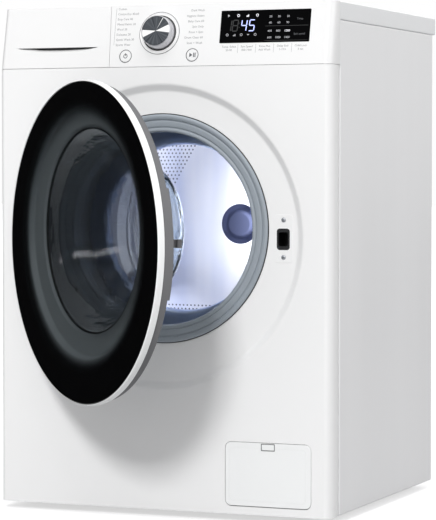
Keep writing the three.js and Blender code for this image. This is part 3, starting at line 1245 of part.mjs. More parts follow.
// Barbed spigot where a drain hose is clamped on, flanged inside the rear panel.
function drainOutlet() {
  const inside = REAR_Y[0] - FIT;
  return toSolid(turned(
    [[7, inside - 22], [DRAIN_NECK_R - 2, inside - 22], [DRAIN_NECK_R, inside - 4], [DRAIN_NECK_R + 5, inside - 4],
      [DRAIN_NECK_R + 5, inside], [DRAIN_NECK_R, inside], [DRAIN_NECK_R, inside + 4], [11, inside + 8],
      [9.5, LID_BACK - 4], [7, LID_BACK - 4]],
    DRAIN_X, DRAIN_Z, ROUGH,
  ));
}

// Bush where the mains lead would enter, with its bore left open.
const mainsGland = () => toSolid(turned(
  [[4, REAR_Y[0] - FIT - 12], [MAINS_NECK_R, REAR_Y[0] - FIT - 12], [MAINS_NECK_R, REAR_Y[0] - FIT - 2],
    [11, REAR_Y[0] - FIT - 2], [11, REAR_Y[0] - FIT], [MAINS_NECK_R, REAR_Y[0] - FIT],
    [MAINS_NECK_R, REAR_Y[1] + FIT], [11.5, REAR_Y[1] + FIT],
    [10, REAR_Y[1] + 7], [4, REAR_Y[1] + 7]],
  MAINS_X, MAINS_Z, ROUGH,
));

function buildWater() {
  piece("filter_flap", filterFlap(), WHITE_PLASTIC);
  piece("drain_pump", drainPump(), BLACK_PLASTIC);
  piece("pump_filter", pumpFilter(), TUB_PLASTIC);
  piece("sump_hose", sumpHose(), BLACK_PLASTIC);
  piece("inlet_valve", inletValve(), WHITE_PLASTIC);
  piece("inlet_hose", inletHose(), BLACK_PLASTIC);
  piece("drain_outlet", drainOutlet(), GREY_PLASTIC);
  piece("mains_gland", mainsGland(), BLACK_PLASTIC);
}

// ---------------------------------------------------------------- assembly

buildCabinet();
buildControls();
buildDrawer();
buildTub();
buildDrum();
buildDoor();
buildWater();

const washingMachine = new THREE.Group();
washingMachine.add(machine);
washingMachine.updateMatrixWorld(true);
const bounds = new THREE.Box3().setFromObject(machine, true);
machine.position.set(-(bounds.min.x + bounds.max.x) / 2, -(bounds.min.y + bounds.max.y) / 2, -bounds.min.z);

export default washingMachine;
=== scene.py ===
"""A front load washing machine with its door ajar: the looks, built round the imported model."""

import logging
import math
from collections.abc import Iterable, Sequence
from dataclasses import dataclass
from enum import Enum

import bmesh
import bpy
from mathutils import Matrix, Vector
from mathutils.geometry import interpolate_bezier


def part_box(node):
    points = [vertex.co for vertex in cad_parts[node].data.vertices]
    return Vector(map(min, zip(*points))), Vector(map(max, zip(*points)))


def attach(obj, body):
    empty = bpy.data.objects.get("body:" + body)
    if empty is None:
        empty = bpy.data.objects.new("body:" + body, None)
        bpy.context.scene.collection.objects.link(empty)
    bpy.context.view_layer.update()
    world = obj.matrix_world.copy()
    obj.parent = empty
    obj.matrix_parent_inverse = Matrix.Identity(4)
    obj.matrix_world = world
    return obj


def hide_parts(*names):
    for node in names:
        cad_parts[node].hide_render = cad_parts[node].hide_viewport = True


log = logging.getLogger("washing_machine")
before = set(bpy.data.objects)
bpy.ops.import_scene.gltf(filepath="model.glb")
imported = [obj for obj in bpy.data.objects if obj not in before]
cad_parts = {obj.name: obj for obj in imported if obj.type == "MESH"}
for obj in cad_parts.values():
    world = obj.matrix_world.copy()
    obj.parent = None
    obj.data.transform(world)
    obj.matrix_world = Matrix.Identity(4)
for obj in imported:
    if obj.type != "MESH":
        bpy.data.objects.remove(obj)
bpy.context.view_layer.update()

Point = tuple[float, float]
Span = tuple[float, float]
Place = tuple[float, float, float]
Tone = tuple[int, int, int]
Socket = bpy.types.NodeSocket
Material = bpy.types.Material
Part = bmesh.types.BMesh
FULL_TURN = 2 * math.pi
ARC_SHARE = 0.5523  # how far along its legs a cubic curve's handles lie to follow a quarter circle
CORNER_STEPS = 8  # facets to a rounded corner
SHARP = 0.5  # radians between two faces, past which their edge counts as sharp


def widened(span: Span, by: float) -> Span:
    """A span grown at both ends."""
    return span[0] - by, span[1] + by


def about(x: float, half: float) -> Span:
    """A span about a middle."""
    return x - half, x + half


# ---------------------------------------------------------------- the machine's own sizes


@dataclass(frozen=True)
class Machine:
    """Sizes that several sub-assemblies share, in millimetres; y runs back from the front panel."""

    half: float = 1000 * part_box("front_panel")[1][0]
    height: float = 1000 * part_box("top_cover")[1][2]
    front: float = 1000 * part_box("front_panel")[0][1]
    ground_gap: float = 1000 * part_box("front_panel")[0][2]
    panel_z: float = 746.8
    panel_lean: float = 21.5
    flank: float = 43.7
    corner_x: float = 12.0
    corner_y: float = 24.0
    curl: float = 9.0
    lid_thick: float = 30.0
    axis_z: float = 479.5
    porthole: float = 184.0
    dish_z: float = 465.7
    dish_depth: float = 8.0
    lock: Point = (215.5, 464.0)
    lock_size: Point = (22.6, 35.0)
    seam_x: float = -92.0
    fit: float = 0.3

    def bench(self) -> Matrix:
        """Turns the machine's millimetres into the row frame's metres."""
        return Matrix.Scale(0.001, 4) @ Matrix.Translation((0, self.front, 0))

    def lean_rate(self) -> float:
        """How far the control panel goes back for each millimetre up."""
        return self.panel_lean / (self.height - self.panel_z)

    def lean(self) -> float:
        """The control panel's lean, in radians."""
        return math.atan(self.lean_rate())

    def slope(self, x: float = 0, up: float = 0, out: float = 0) -> Matrix:
        """A place on the control panel.

        Args:
            x: millimetres right of the middle.
            up: millimetres up the slope from the panel's lower edge.
            out: millimetres proud of its face.

        Returns:
            The matrix whose y runs into the panel and whose z runs up its slope.
        """
        foot = Matrix.Translation((0, 0, self.panel_z)) @ Matrix.Rotation(-self.lean(), 4, "X")
        return foot @ Matrix.Translation((x, -out, up))

    def plan(self, inset: float, back: float, tuck: float = 0) -> list[Point]:
        """The front seen from above.

        Args:
            inset: how far inside the outer skin.
            back: how far it reaches back.
            tuck: how far its rear edges curl in.

        Returns:
            Points of x and y, whose two corners are quarter ellipses.
        """
        half, curl = self.half - inset, self.curl
        across, along = self.corner_x - inset, self.corner_y - inset
        line = [(half - tuck, back), (half, back - curl), (half, inset), (-half, inset), (-half, back - curl),
                (tuck - half, back)]
        return eased(line, [(curl, curl / 2), (along, across), (across, along), (curl / 2, curl)], 16)

    def lettered(self, x: float, up: float, out: float = 0.06) -> Matrix:
        """The same place for flat lettering, whose x reads right and whose y runs up."""
        return self.slope(x, up, out) @ Matrix.Rotation(math.pi / 2, 4, "X")

    def lock_mouth(self, side: float = 0, end: float = 0) -> tuple[Span, Span]:
        """The lock's opening in x and z, drawn in at its sides and ends."""
        (x, z), (width, height) = self.lock, self.lock_size
        return about(x, width / 2 - side), about(z, height / 2 - end)


MACHINE = Machine()


# ---------------------------------------------------------------- finishes


def linear(red: float, green: float, blue: float) -> tuple[float, float, float, float]:
    """Makes a screen colour linear.

    Args:
        red: its red, 0 to 255.
        green: its green.
        blue: its blue.

    Returns:
        The colour with an alpha of 1.
    """
    def channel(value: float) -> float:
        """One channel by the standard curve."""
        share = value / 255
        return share / 12.92 if share <= 0.04045 else ((share + 0.055) / 1.055) ** 2.4

    return channel(red), channel(green), channel(blue), 1.0


def scaled(colour: Sequence[float], share: float) -> list[float]:
    """A linear colour made darker or lighter, held at white."""
    return [min(1.0, channel * share) for channel in colour[:3]] + [1]


class Graph:
    """A material's nodes, added one by one round its Principled shader."""

    def __init__(self, name: str) -> None:
        """Starts a material with only a Principled shader.

        Args:
            name: the material's name.
        """
        self.material = bpy.data.materials.new(name)
        self.material.use_nodes = True
        self.tree = self.material.node_tree
        self.shader = self.tree.nodes["Principled BSDF"]

    def add(self, kind: str, inputs: dict | None = None, **settings: object) -> bpy.types.Node:
        """Adds a node.

        Args:
            kind: the node's type without its ShaderNode prefix.
            inputs: values or sockets for its inputs, by name or number.
            settings: its own settings.

        Returns:
            The new node.
        """
        node = self.tree.nodes.new("ShaderNode" + kind)
        for name, value in settings.items():
            setattr(node, name, value)
        self.feed(node, inputs or {})
        return node

    def feed(self, node: bpy.types.Node, inputs: dict) -> None:
        """Sets or links a node's inputs.

        Args:
            node: the node.
            inputs: values or sockets, by the input's name or number.
        """
        for socket, value in inputs.items():
            if isinstance(value, Socket):
                self.tree.links.new(value, node.inputs[socket])
            else:
                node.inputs[socket].default_value = value

    def where(self) -> Socket:
        """The place on the piece, in metres."""
        return self.add("TexCoord").outputs["Object"]

    def place(self, scale: Sequence[float] = (1, 1, 1), shift: Sequence[float] = (0, 0, 0)) -> Socket:
        """The place on the piece, scaled and moved."""
        mapping = {"Vector": self.where(), "Location": shift, "Scale": scale}
        return self.add("Mapping", mapping).outputs["Vector"]

    def axes(self, vector: Socket) -> Sequence[Socket]:
        """A vector's x, y and z."""
        return self.add("SeparateXYZ", {0: vector}).outputs

    def vector(self, *values: Socket) -> Socket:
        """A vector from its first values."""
        return self.add("CombineXYZ", dict(enumerate(values))).outputs[0]

    def measure(self, operation: str, *vectors: object) -> Socket:
        """A vector's length, or the distance between two."""
        return self.add("VectorMath", dict(enumerate(vectors)), operation=operation).outputs["Value"]

    def noise(self, vector: Socket, scale: float, detail: float = 2) -> Socket:
        """A noise between 0 and 1."""
        return self.add("TexNoise", {"Vector": vector, "Scale": scale, "Detail": detail}).outputs["Fac"]

    def ranged(self, value: Socket, source: Span, target: Span = (0, 1), **settings: object) -> Socket:
        """Maps one range to another, held at its ends."""
        ends = dict(zip(("From Min", "From Max", "To Min", "To Max"), (*source, *target)))
        return self.add("MapRange", {"Value": value, **ends}, **settings).outputs[0]

    def math(self, operation: str, *values: object) -> Socket:
        """One sum of two or three values."""
        return self.add("Math", dict(enumerate(values)), operation=operation).outputs[0]

    def mixed(self, share: object, first: object, second: object) -> Socket:
        """A colour between two."""
        return self.add("Mix", {0: share, 6: first, 7: second}, data_type="RGBA").outputs[2]

    def bump(self, height: Socket, strength: float, distance: float) -> None:
        """Raises the surface by a height map, over a distance in metres."""
        bump = self.add("Bump", {"Height": height, "Strength": strength, "Distance": distance})
        self.feed(self.shader, {"Normal": bump.outputs["Normal"]})


@dataclass(frozen=True)
class Finish:
    """A finish: what its material is called, and a slot name that the script does not use."""

    name: str
    slot: str

    def material(self) -> Material:
        """The finish's material, made once."""
        return bpy.data.materials.get(self.name) or self.make()

    def make(self) -> Material:
        """Builds the nodes; each kind of finish has its own."""
        raise NotImplementedError(self.name)


@dataclass(frozen=True)
class Surface(Finish):
    """A moulded, painted or cast surface: a tone that drifts slowly over a fine grain."""

    tone: Tone
    roughness: float = 0.4
    metallic: float = 0.0
    drift: float = 0.03
    grain: float = 900.0
    relief: float = 0.08
    stretch: Place = (1, 1, 1)
    shine: float = 0.5
    cloud: float = 5.0
    gloss_drift: float = 0.15

    def make(self) -> Material:
        """Builds the nodes of the finish.

        Returns:
            The material.
        """
        graph = Graph(self.name)
        where = graph.place(self.stretch)
        slow = graph.noise(where, self.cloud)
        fine = graph.noise(where, self.grain, 3)
        base = linear(*self.tone)
        low, high = scaled(base, 1 - self.drift), scaled(base, 1 + self.drift)
        steady = graph.ranged(slow, (0.1, 0.9))
        grained = graph.math("MULTIPLY_ADD", fine, 0.25, graph.math("MULTIPLY", steady, 0.75))
        dull = (self.roughness * (1 - self.gloss_drift), min(1.0, self.roughness * (1 + self.gloss_drift)))
        graph.feed(graph.shader, {
            "Base Color": graph.mixed(grained, low, high),
            "Roughness": graph.ranged(slow, (0.1, 0.9), dull),
            "Metallic": self.metallic,
            "Specular IOR Level": self.shine,
        })
        graph.bump(fine, self.relief, 0.0002)
        return graph.material


@dataclass(frozen=True)
class Lamp(Finish):
    """A lit or printed mark that glows a little by itself; the faint glow of the unlit figures is painted
    light.
    """

    tone: Tone
    glow: float
    roughness: float = 0.5
    drift: float = 0.1

    def make(self) -> Material:
        """Builds the glowing nodes.

        Returns:
            The material.
        """
        graph = Graph(self.name)
        spread = graph.ranged(graph.noise(graph.place(), 260, 1), (0.3, 0.7))
        base = linear(*self.tone)
        colour = graph.mixed(spread, scaled(base, 1 - self.drift), base)
        graph.feed(graph.shader, {
            "Base Color": colour,
            "Roughness": self.roughness,
            "Emission Color": colour,
            "Emission Strength": self.glow,
        })
        return graph.material


@dataclass(frozen=True)
class SmokedGlass(Finish):
    """The door's outer glass: a black band printed on its back that fades into a smoked middle, darker still
    over the bowl as painted shade.
    """

    centre_z: float = 470.0
    bowl_radius: float = 168.0
    bowl_offset: Point = (38.0, 12.0)
    bowl_fade: float = 10.0
    clear_radius: float = 190.0
    black_radius: float = 222.0
    veil: float = 0.38
    painted_shade_veil: float = 0.56

    def make(self) -> Material:
        """Builds the nodes: the door stands open, so they measure from the glass's own turned middle.

        Returns:
            The material.
        """
        graph = Graph(self.name)
        band = (self.clear_radius / 1000, self.black_radius / 1000)
        printed = graph.ranged(self.distance(graph, 0, 0), band, interpolation_type="SMOOTHERSTEP")
        # Over the bowl the glass is darkened further: painted shade for the dark seen through the bowl.
        edge = ((self.bowl_radius - self.bowl_fade) / 1000, self.bowl_radius / 1000)
        deep = graph.ranged(self.distance(graph, *self.bowl_offset), edge, (self.painted_shade_veil, self.veil))
        haze = graph.noise(graph.place(), 900, 1)
        smoke = graph.mixed(haze, linear(20, 23, 25), linear(24, 27, 29))
        graph.feed(graph.shader, {
            "Base Color": graph.mixed(printed, smoke, linear(4, 4, 5)),
            "Alpha": graph.math("MULTIPLY_ADD", graph.math("SUBTRACT", 1.0, deep), printed, deep),
            "Roughness": graph.ranged(haze, (0.3, 0.7), (0.03, 0.05)),
            "Specular IOR Level": 0.3,
        })
        return graph.material

    def distance(self, graph: Graph, across: float, up: float) -> Socket:
        """The distance on the open door from a point near the band's middle.

        Args:
            graph: the material's nodes.
            across: how far right of the door's middle the point lies, in millimetres.
            up: how far above the band's middle.

        Returns:
            The distance in metres.
        """
        middle = MACHINE.bench() @ Door.swing() @ Vector((across, Door.glass_front, self.centre_z + up))
        return graph.measure("DISTANCE", graph.where(), tuple(middle))


@dataclass(frozen=True)
class ClearGlass(Finish):
    """Pressed clear glass with a faint blue body and slow ripples."""

    index: float = 1.5
    ripple: float = 26.0
    fine_ripple: float = 85.0
    fine_share: float = 0.16
    relief: float = 0.45

    def make(self) -> Material:
        """Builds the nodes.

        Returns:
            The material.
        """
        graph = Graph(self.name)
        ripple = graph.noise(graph.place((1, 1, 0.4)), self.ripple, 1)
        fine = graph.noise(graph.place((1.6, 1.6, 0.3)), self.fine_ripple, 1)
        graph.feed(graph.shader, {
            "Base Color": graph.mixed(ripple, linear(222, 232, 240), linear(236, 243, 248)),
            "Roughness": graph.ranged(ripple, (0, 1), (0.0, 0.03)),
            "Transmission Weight": 1.0,
            "IOR": self.index,
        })
        graph.bump(graph.math("MULTIPLY_ADD", fine, self.fine_share, ripple), self.relief, 0.005)
        return graph.material


@dataclass(frozen=True)
class BrushedSteel(Finish):
    """Rolled stainless: fine lines round the drum's axis and slow bluish clouds."""

    tone: Tone
    roughness: float
    metallic: float
    relief: float = 0.02
    lines: float = 900.0
    cloud: float = 2.6
    cool: Place = (0.74, 0.78, 0.9)

    def make(self) -> Material:
        """Builds the nodes from the distance to the drum's axis.

        Returns:
            The material.
        """
        graph = Graph(self.name)
        axes = graph.axes(graph.place(shift=(0, 0, -MACHINE.axis_z / 1000)))
        radius = graph.measure("LENGTH", graph.vector(axes[0], axes[2]))
        lines = graph.noise(graph.vector(radius, axes[1]), self.lines)
        clouds = graph.ranged(graph.noise(graph.place((6, 2, 0.8)), self.cloud), (0.35, 0.65))
        base = linear(*self.tone)
        cool = [channel * share for channel, share in zip(base, (*self.cool, 1))]
        graph.feed(graph.shader, {
            "Base Color": graph.mixed(clouds, cool, base),
            "Metallic": self.metallic,
            "Roughness": graph.ranged(lines, (0.3, 0.7), (self.roughness * 0.9, self.roughness * 1.1)),
        })
        graph.bump(lines, self.relief, 0.0001)
        return graph.material


@dataclass(frozen=True)
class SpunFace(Finish):
    """The dial's face: finely turned, with dark rays and pale sectors painted into its colour as painted
    shade and painted highlights.
    """

    rays: float = 5.5
    grooves: float = 2600.0
    edge: float = 0.02
    painted_highlight_sectors: tuple[tuple[float, float, int], ...] = (
        (-8, 24, 252), (176, 206, 252), (-184, -154, 252), (60.5, 63.5, 235))

    def make(self) -> Material:
        """Builds the nodes from the angle round the dial's middle.

        Returns:
            The material.
        """
        graph = Graph(self.name)
        middle = MACHINE.bench() @ MACHINE.slope(Controls.dial_x, Controls.dial_up) @ Vector((0, 0, 0))
        offset = graph.add("VectorMath", {0: graph.where(), 1: tuple(middle)}, operation="SUBTRACT")
        turn = {"Vector": offset.outputs[0], "Angle": MACHINE.lean()}
        flat = graph.add("VectorRotate", turn, rotation_type="X_AXIS")
        axes = graph.axes(flat.outputs[0])
        angle = graph.math("ARCTAN2", axes[2], axes[0])
        radius = graph.measure("LENGTH", graph.vector(axes[0], axes[2]))
        # Painted shade: dark rays round the face stand in for the turned metal's dark sectors.
        rays = graph.ranged(graph.noise(graph.vector(angle), self.rays, 3), (0.35, 0.65))
        tone = graph.mixed(rays, linear(46, 49, 54), linear(92, 96, 101))
        # Painted highlights: pale sectors at set angles.
        for start, end, level in self.painted_highlight_sectors:
            tone = graph.mixed(self.painted_highlight_mask(graph, angle, start, end), tone, linear(level, level, level))
        turned = graph.noise(graph.vector(radius), self.grooves, 1)
        graph.feed(graph.shader, {
            "Base Color": tone,
            "Specular IOR Level": 0.15,
            "Roughness": graph.ranged(turned, (0.3, 0.7), (0.34, 0.46)),
        })
        graph.bump(turned, 0.1, 0.0001)
        return graph.material

    def painted_highlight_mask(self, graph: Graph, angle: Socket, start: float, end: float) -> Socket:
        """A mask that is 1 between two angles, where a painted highlight goes.

        Args:
            graph: the material's nodes.
            angle: the angle socket, in radians.
            start: degrees from the right, anticlockwise.
            end: the same.

        Returns:
            The mask.
        """
        after = graph.ranged(angle, about(math.radians(start), self.edge))
        before = graph.ranged(angle, about(math.radians(end), self.edge), (1, 0))
        return graph.math("MULTIPLY", after, before)


@dataclass(frozen=True)
class Stock:
    """Every finish on the machine."""

    paint: Finish = Surface("white_enamel", "white_paint", (241, 241, 241), drift=0.008, relief=0.03,
                            shine=0.3)
    side_paint: Finish = Surface("white_enamel_sides", "white_paint", (238, 238, 239), 0.34, drift=0.032,
                                 stretch=(1, 2.5, 0.12), relief=0.03)
    lid: Finish = Surface("white_lid_board", "white_plastic", (238, 239, 240), 0.42, drift=0.01)
    # A little greyer than the paint, to offset the stronger light on the leaning panel: painted shade.
    fascia: Finish = Surface("white_moulding", "white_plastic", (234, 234, 234), 0.34, drift=0.006,
                             relief=0.03)
    rim: Finish = Surface("white_door_rim", "white_plastic", (242, 243, 243), 0.28, drift=0.006, relief=0.03)
    grey: Finish = Surface("grey_door_moulding", "grey_plastic", (116, 116, 118), 0.6, shine=0.15)
    liner: Finish = Surface("grey_green_liner", "grey_plastic", (172, 183, 188), 0.5, drift=0.02)
    # Grey for hollows that lie in shade: painted shade.
    smoke: Finish = Surface("painted_shade_grey", "grey_plastic", (112, 114, 114), 0.5)
    black: Finish = Surface("black_moulding", "black_plastic", (22, 23, 25), 0.42)
    seal: Finish = Surface("grey_seal_rubber", "seal_rubber", (154, 162, 170), 0.46, drift=0.04, relief=0.12)
    hose: Finish = Surface("black_hose_rubber", "black_rubber", (30, 30, 32), 0.6, relief=0.2)
    tub: Finish = Surface("grey_tub_moulding", "tub_plastic", (150, 154, 158), 0.55)
    lifter: Finish = Surface("blue_grey_lifter", "lifter_plastic", (118, 126, 150))
    cap: Finish = Surface("blue_softener_cap", "blue_plastic", (44, 86, 160), 0.38)
    steel: Finish = BrushedSteel("drum_steel", "stainless", (233, 234, 239), 0.34, 0.7)
    steel_front: Finish = BrushedSteel("drum_front_steel", "stainless", (186, 199, 222), 0.3, 0.8)
    hub: Finish = Surface("steel_hub_cap", "stainless", (62, 68, 94), 0.36, 0.85)
    # Dark discs for the drum's holes: painted shade.
    hole: Finish = Surface("hole_painted_shade", "black_rubber", (92, 96, 110), 0.8)
    silver: Finish = Surface("turned_silver", "spun_aluminium", (206, 206, 210), 0.3, 0.85, grain=1800)
    face: Finish = SpunFace("spun_dial_face_painted_sheen", "spun_aluminium")
    cast: Finish = Surface("cast_aluminium_grey", "cast_aluminium", (150, 152, 155), 0.5, 1.0, relief=0.4)
    zinc: Finish = Surface("zinc_plate", "zinc_steel", (168, 171, 176), metallic=1.0, drift=0.08)
    concrete: Finish = Surface("cast_concrete", "concrete", (146, 143, 137), 0.9, grain=260, relief=0.7,
                               drift=0.1)
    copper: Finish = Surface("wound_copper", "copper_winding", (172, 98, 52), metallic=0.8)
    board: Finish = Surface("green_circuit_board", "circuit_board", (32, 92, 58), 0.5)
    ring: Finish = Surface("grey_line", "grey_plastic", (96, 97, 100), 0.5)
    print: Finish = Surface("grey_print", "grey_plastic", (138, 138, 141), 0.6)
    dark_print: Finish = Surface("dark_print", "grey_plastic", (92, 94, 97), 0.6)
    window: Finish = Surface("display_black", "display_glass", (3, 3, 4), 0.14, relief=0.01, shine=0.03)
    glass: Finish = SmokedGlass("smoked_door_glass", "dark_glass")
    bowl: Finish = ClearGlass("clear_bowl_glass", "clear_glass")
    digits: Finish = Lamp("lit_digits", "display_glass", (178, 188, 252), 1.05)
    marks: Finish = Lamp("lit_marks", "display_glass", (150, 150, 154), 0.8)
    bright_mark: Finish = Lamp("bright_marks", "display_glass", (222, 222, 228), 0.9)
    quiet_marks: Finish = Lamp("quiet_marks", "display_glass", (74, 75, 79), 0.4)
    painted_glow_marks: Finish = Lamp("painted_glow_marks", "display_glass", (18, 19, 21), 0.2)


STOCK = Stock()


# ---------------------------------------------------------------- mesh making


def eased(line: Sequence[Point], radius: float | Sequence[Span], steps: int = 5) -> list[Point]:
    """Rounds the corners between a line's ends.

    Args:
        line: the points of the line.
        radius: how far before and after each corner the curve reaches, or a pair for each corner.
        steps: points along each curve.

    Returns:
        The points of the rounded line.
    """
    points = [tuple(line[0])]
    even = isinstance(radius, (int, float))
    reaches = [(radius, radius)] * len(line) if even else radius
    share = 2 if even else 1
    for index, (near, far) in zip(range(1, len(line) - 1), reaches):
        here = Vector(line[index])
        back, ahead = Vector(line[index - 1]) - here, Vector(line[index + 1]) - here
        start = here + back.normalized() * min(near, back.length / share)
        end = here + ahead.normalized() * min(far, ahead.length / share)
        curve = interpolate_bezier(start, start.lerp(here, ARC_SHARE), end.lerp(here, ARC_SHARE), end, steps)
        points += [(point.x, point.y) for point in curve]
    return points + [tuple(line[-1])]


def ribbon(line: Sequence[Point], thick: float) -> list[Point]:
    """Gives a line a thickness.

    Args:
        line: the middle of the wall.
        thick: the wall's thickness.

    Returns:
        The closed outline of the wall.
    """
    sides: tuple[list[Point], list[Point]] = ([], [])
    for index, point in enumerate(line):
        along = Vector(line[min(index + 1, len(line) - 1)]) - Vector(line[max(index - 1, 0)])
        across = Vector((-along.y, along.x)).normalized() * thick / 2
        for side, sign in zip(sides, (1, -1)):
            side.append(tuple(Vector(point) + across * sign))
    return sides[0] + sides[1][::-1]


def outward(part: Part) -> None:
    """Makes a part's faces point outwards.

    Args:
        part: a closed part.
    """
    bmesh.ops.recalc_face_normals(part, faces=part.faces)
    if part.calc_volume(signed=True) < 0:
        bmesh.ops.reverse_faces(part, faces=part.faces)


def bevelled(part: Part, geom: list, offset: float, segments: int, affect: str = "EDGES") -> None:
    """Rounds some of a part's edges, or its corners."""
    bmesh.ops.bevel(part, geom=geom, offset=offset, offset_type="OFFSET", affect=affect, segments=segments,
                    profile=0.5, material=-1, clamp_overlap=True)


def sharp_edges(part: Part) -> list[bmesh.types.BMEdge]:
    """The edges between faces that meet at more than a slight angle."""
    return [edge for edge in part.edges if edge.is_manifold and edge.calc_face_angle() > SHARP]


def poured(part: Part, name: str) -> bpy.types.Mesh:
    """Makes a mesh of a bmesh part.

    Args:
        part: the part, which is used up.
        name: the mesh's name.

    Returns:
        The mesh.
    """
    mesh = bpy.data.meshes.new(name)
    part.to_mesh(mesh)
    part.free()
    return mesh


def placed(name: str, data: bpy.types.ID | None) -> bpy.types.Object:
    """Puts data into the scene.

    Args:
        name: the object's name.
        data: its mesh, curve, light or camera.

    Returns:
        The object.
    """
    holder = bpy.data.objects.new(name, data)
    bpy.context.scene.collection.objects.link(holder)
    return holder


def settled(holder: bpy.types.Object) -> bpy.types.Mesh:
    """An object's shape as a mesh, with its modifiers or its lettering worked out."""
    return bpy.data.meshes.new_from_object(holder.evaluated_get(bpy.context.evaluated_depsgraph_get()))


class Cut(Enum):
    """How one form combines with another."""

    JOIN = "UNION"
    REMOVE = "DIFFERENCE"
    KEEP = "INTERSECT"


class Align(Enum):
    """Which end of some words stands at their place."""

    LEFT = "LEFT"
    MIDDLE = "CENTER"
    RIGHT = "RIGHT"


class Facing(Enum):
    """Which way along y a screw's head looks."""

    FRONT = -1
    BACK = 1


class Side(Enum):
    """A side of the machine, seen from its front."""

    LEFT = -1
    RIGHT = 1

    def span(self, near: float, far: float) -> Span:
        """A stretch of x on this side, from one distance to another."""
        return tuple(sorted((self.value * near, self.value * far)))


class Form:
    """A mesh in the making, in the machine's millimetres."""

    def __init__(self) -> None:
        """Starts empty."""
        self.bm = bmesh.new()

    def take(self, part: Part, place: Matrix | None = None, ease: float = 0) -> "Form":
        """Adds a finished bmesh part.

        Args:
            part: the part, which is used up.
            place: where it goes.
            ease: how far its sharp edges are rounded.

        Returns:
            This form.
        """
        if ease:
            bevelled(part, sharp_edges(part), ease, 3)
        if place:
            part.transform(place)
            outward(part)
        mesh = poured(part, "part")
        self.bm.from_mesh(mesh)
        bpy.data.meshes.remove(mesh)
        return self

    def turned(self, line: Sequence[Point], centre: Point = (0, 0), steps: int = 128,
               place: Matrix | None = None) -> "Form":
        """Spins an outline of (radius, y) about an axis that runs along y.

        Args:
            line: the outline; one that starts and ends on the axis is left open there.
            centre: the axis's x and z.
            steps: facets round the axis.
            place: where the result goes.

        Returns:
            This form.
        """
        part = bmesh.new()
        corners = [part.verts.new((radius, y, 0)) for radius, y in line]
        pairs = list(zip(corners, corners[1:]))
        if line[0][0] or line[-1][0]:
            pairs.append((corners[-1], corners[0]))
        edges = [part.edges.new(pair) for pair in pairs]
        bmesh.ops.spin(part, geom=corners + edges, cent=(0, 0, 0), axis=(0, 1, 0), angle=FULL_TURN,
                       steps=steps, use_merge=True)
        bmesh.ops.remove_doubles(part, verts=part.verts, dist=0.001)
        loose = [edge for edge in part.edges if not edge.link_faces]
        bmesh.ops.delete(part, geom=loose, context="EDGES")
        outward(part)
        part.transform(Matrix.Translation((centre[0], 0, centre[1])))
        return self.take(part, place)

    def tube(self, radii: Span, ys: Span, centre: Point = (0, 0), steps: int = 128,
             place: Matrix | None = None) -> "Form":
        """Adds a plain tube about an axis that runs along y.

        Args:
            radii: its bore and its outside; it is solid where the bore is 0.
            ys: where it starts and ends.
            centre: the axis's x and z.
            steps: facets round the axis.
            place: where the result goes.

        Returns:
            This form.
        """
        (inner, outer), (front, back) = radii, ys
        line = [(inner, front), (outer, front), (outer, back), (inner, back)]
        return self.turned(line, centre, steps, place)

    def block(self, xs: Span, ys: Span, zs: Span, ease: float = 0, place: Matrix | None = None) -> "Form":
        """Adds a box.

        Args:
            xs: where it starts and ends in x.
            ys: the same in y.
            zs: the same in z.
            ease: how far its edges are rounded.
            place: where the result goes.

        Returns:
            This form.
        """
        part = bmesh.new()
        size = Vector((xs[1] - xs[0], ys[1] - ys[0], zs[1] - zs[0]))
        middle = Vector((sum(xs) / 2, sum(ys) / 2, sum(zs) / 2))
        bmesh.ops.create_cube(part, size=1, matrix=Matrix.Translation(middle) @ Matrix.Diagonal((*size, 1)))
        return self.take(part, place, ease)

    def slab(self, outline: Iterable[Point], ys: Span, corner: float = 0, ease: float = 0,
             place: Matrix | None = None) -> "Form":
        """Extrudes an outline of (x, z) backwards.

        Args:
            outline: its corners in order.
            ys: where it starts and ends.
            corner: the radius of its corners.
            ease: how far the other edges are rounded.
            place: where the result goes.

        Returns:
            This form.
        """
        part = bmesh.new()
        face = part.faces.new([part.verts.new((x, ys[0], z)) for x, z in outline])
        if corner:
            bevelled(part, list(face.verts), corner, CORNER_STEPS, "VERTICES")
        moved = bmesh.ops.extrude_face_region(part, geom=list(part.faces))["geom"]
        back = [item for item in moved if isinstance(item, bmesh.types.BMVert)]
        bmesh.ops.translate(part, verts=back, vec=(0, ys[1] - ys[0], 0))
        outward(part)
        return self.take(part, place, ease)

    def plate(self, xs: Span, zs: Span, ys: Span, corner: float, ease: float = 0,
              place: Matrix | None = None) -> "Form":
        """Extrudes a rounded rectangle of x and z backwards."""
        corners = [(xs[0], zs[0]), (xs[1], zs[0]), (xs[1], zs[1]), (xs[0], zs[1])]
        return self.slab(corners, ys, corner, ease, place)

    def upright(self, outline: Iterable[Point], zs: Span, place: Matrix | None = None) -> "Form":
        """Extrudes an outline of (x, y) upwards."""
        stand = Matrix(((1, 0, 0, 0), (0, 0, 1, 0), (0, 1, 0, 0), (0, 0, 0, 1)))
        return self.slab(outline, zs, place=(place or Matrix()) @ stand)

    def sideways(self, outline: Iterable[Point], xs: Span) -> "Form":
        """Extrudes an outline of (y, z) to the right."""
        stand = Matrix(((0, 1, 0, 0), (1, 0, 0, 0), (0, 0, 1, 0), (0, 0, 0, 1)))
        return self.slab(outline, xs, place=stand)

    def round_rim(self, height: float, radius: float) -> "Form":
        """Rounds the sharp edges that lie at one height.

        Args:
            height: the edges' z.
            radius: how far they are rounded.

        Returns:
            This form.
        """
        edges = [edge for edge in sharp_edges(self.bm)
                 if all(abs(vert.co.z - height) < 0.01 for vert in edge.verts)]
        bevelled(self.bm, edges, radius, 5)
        return self

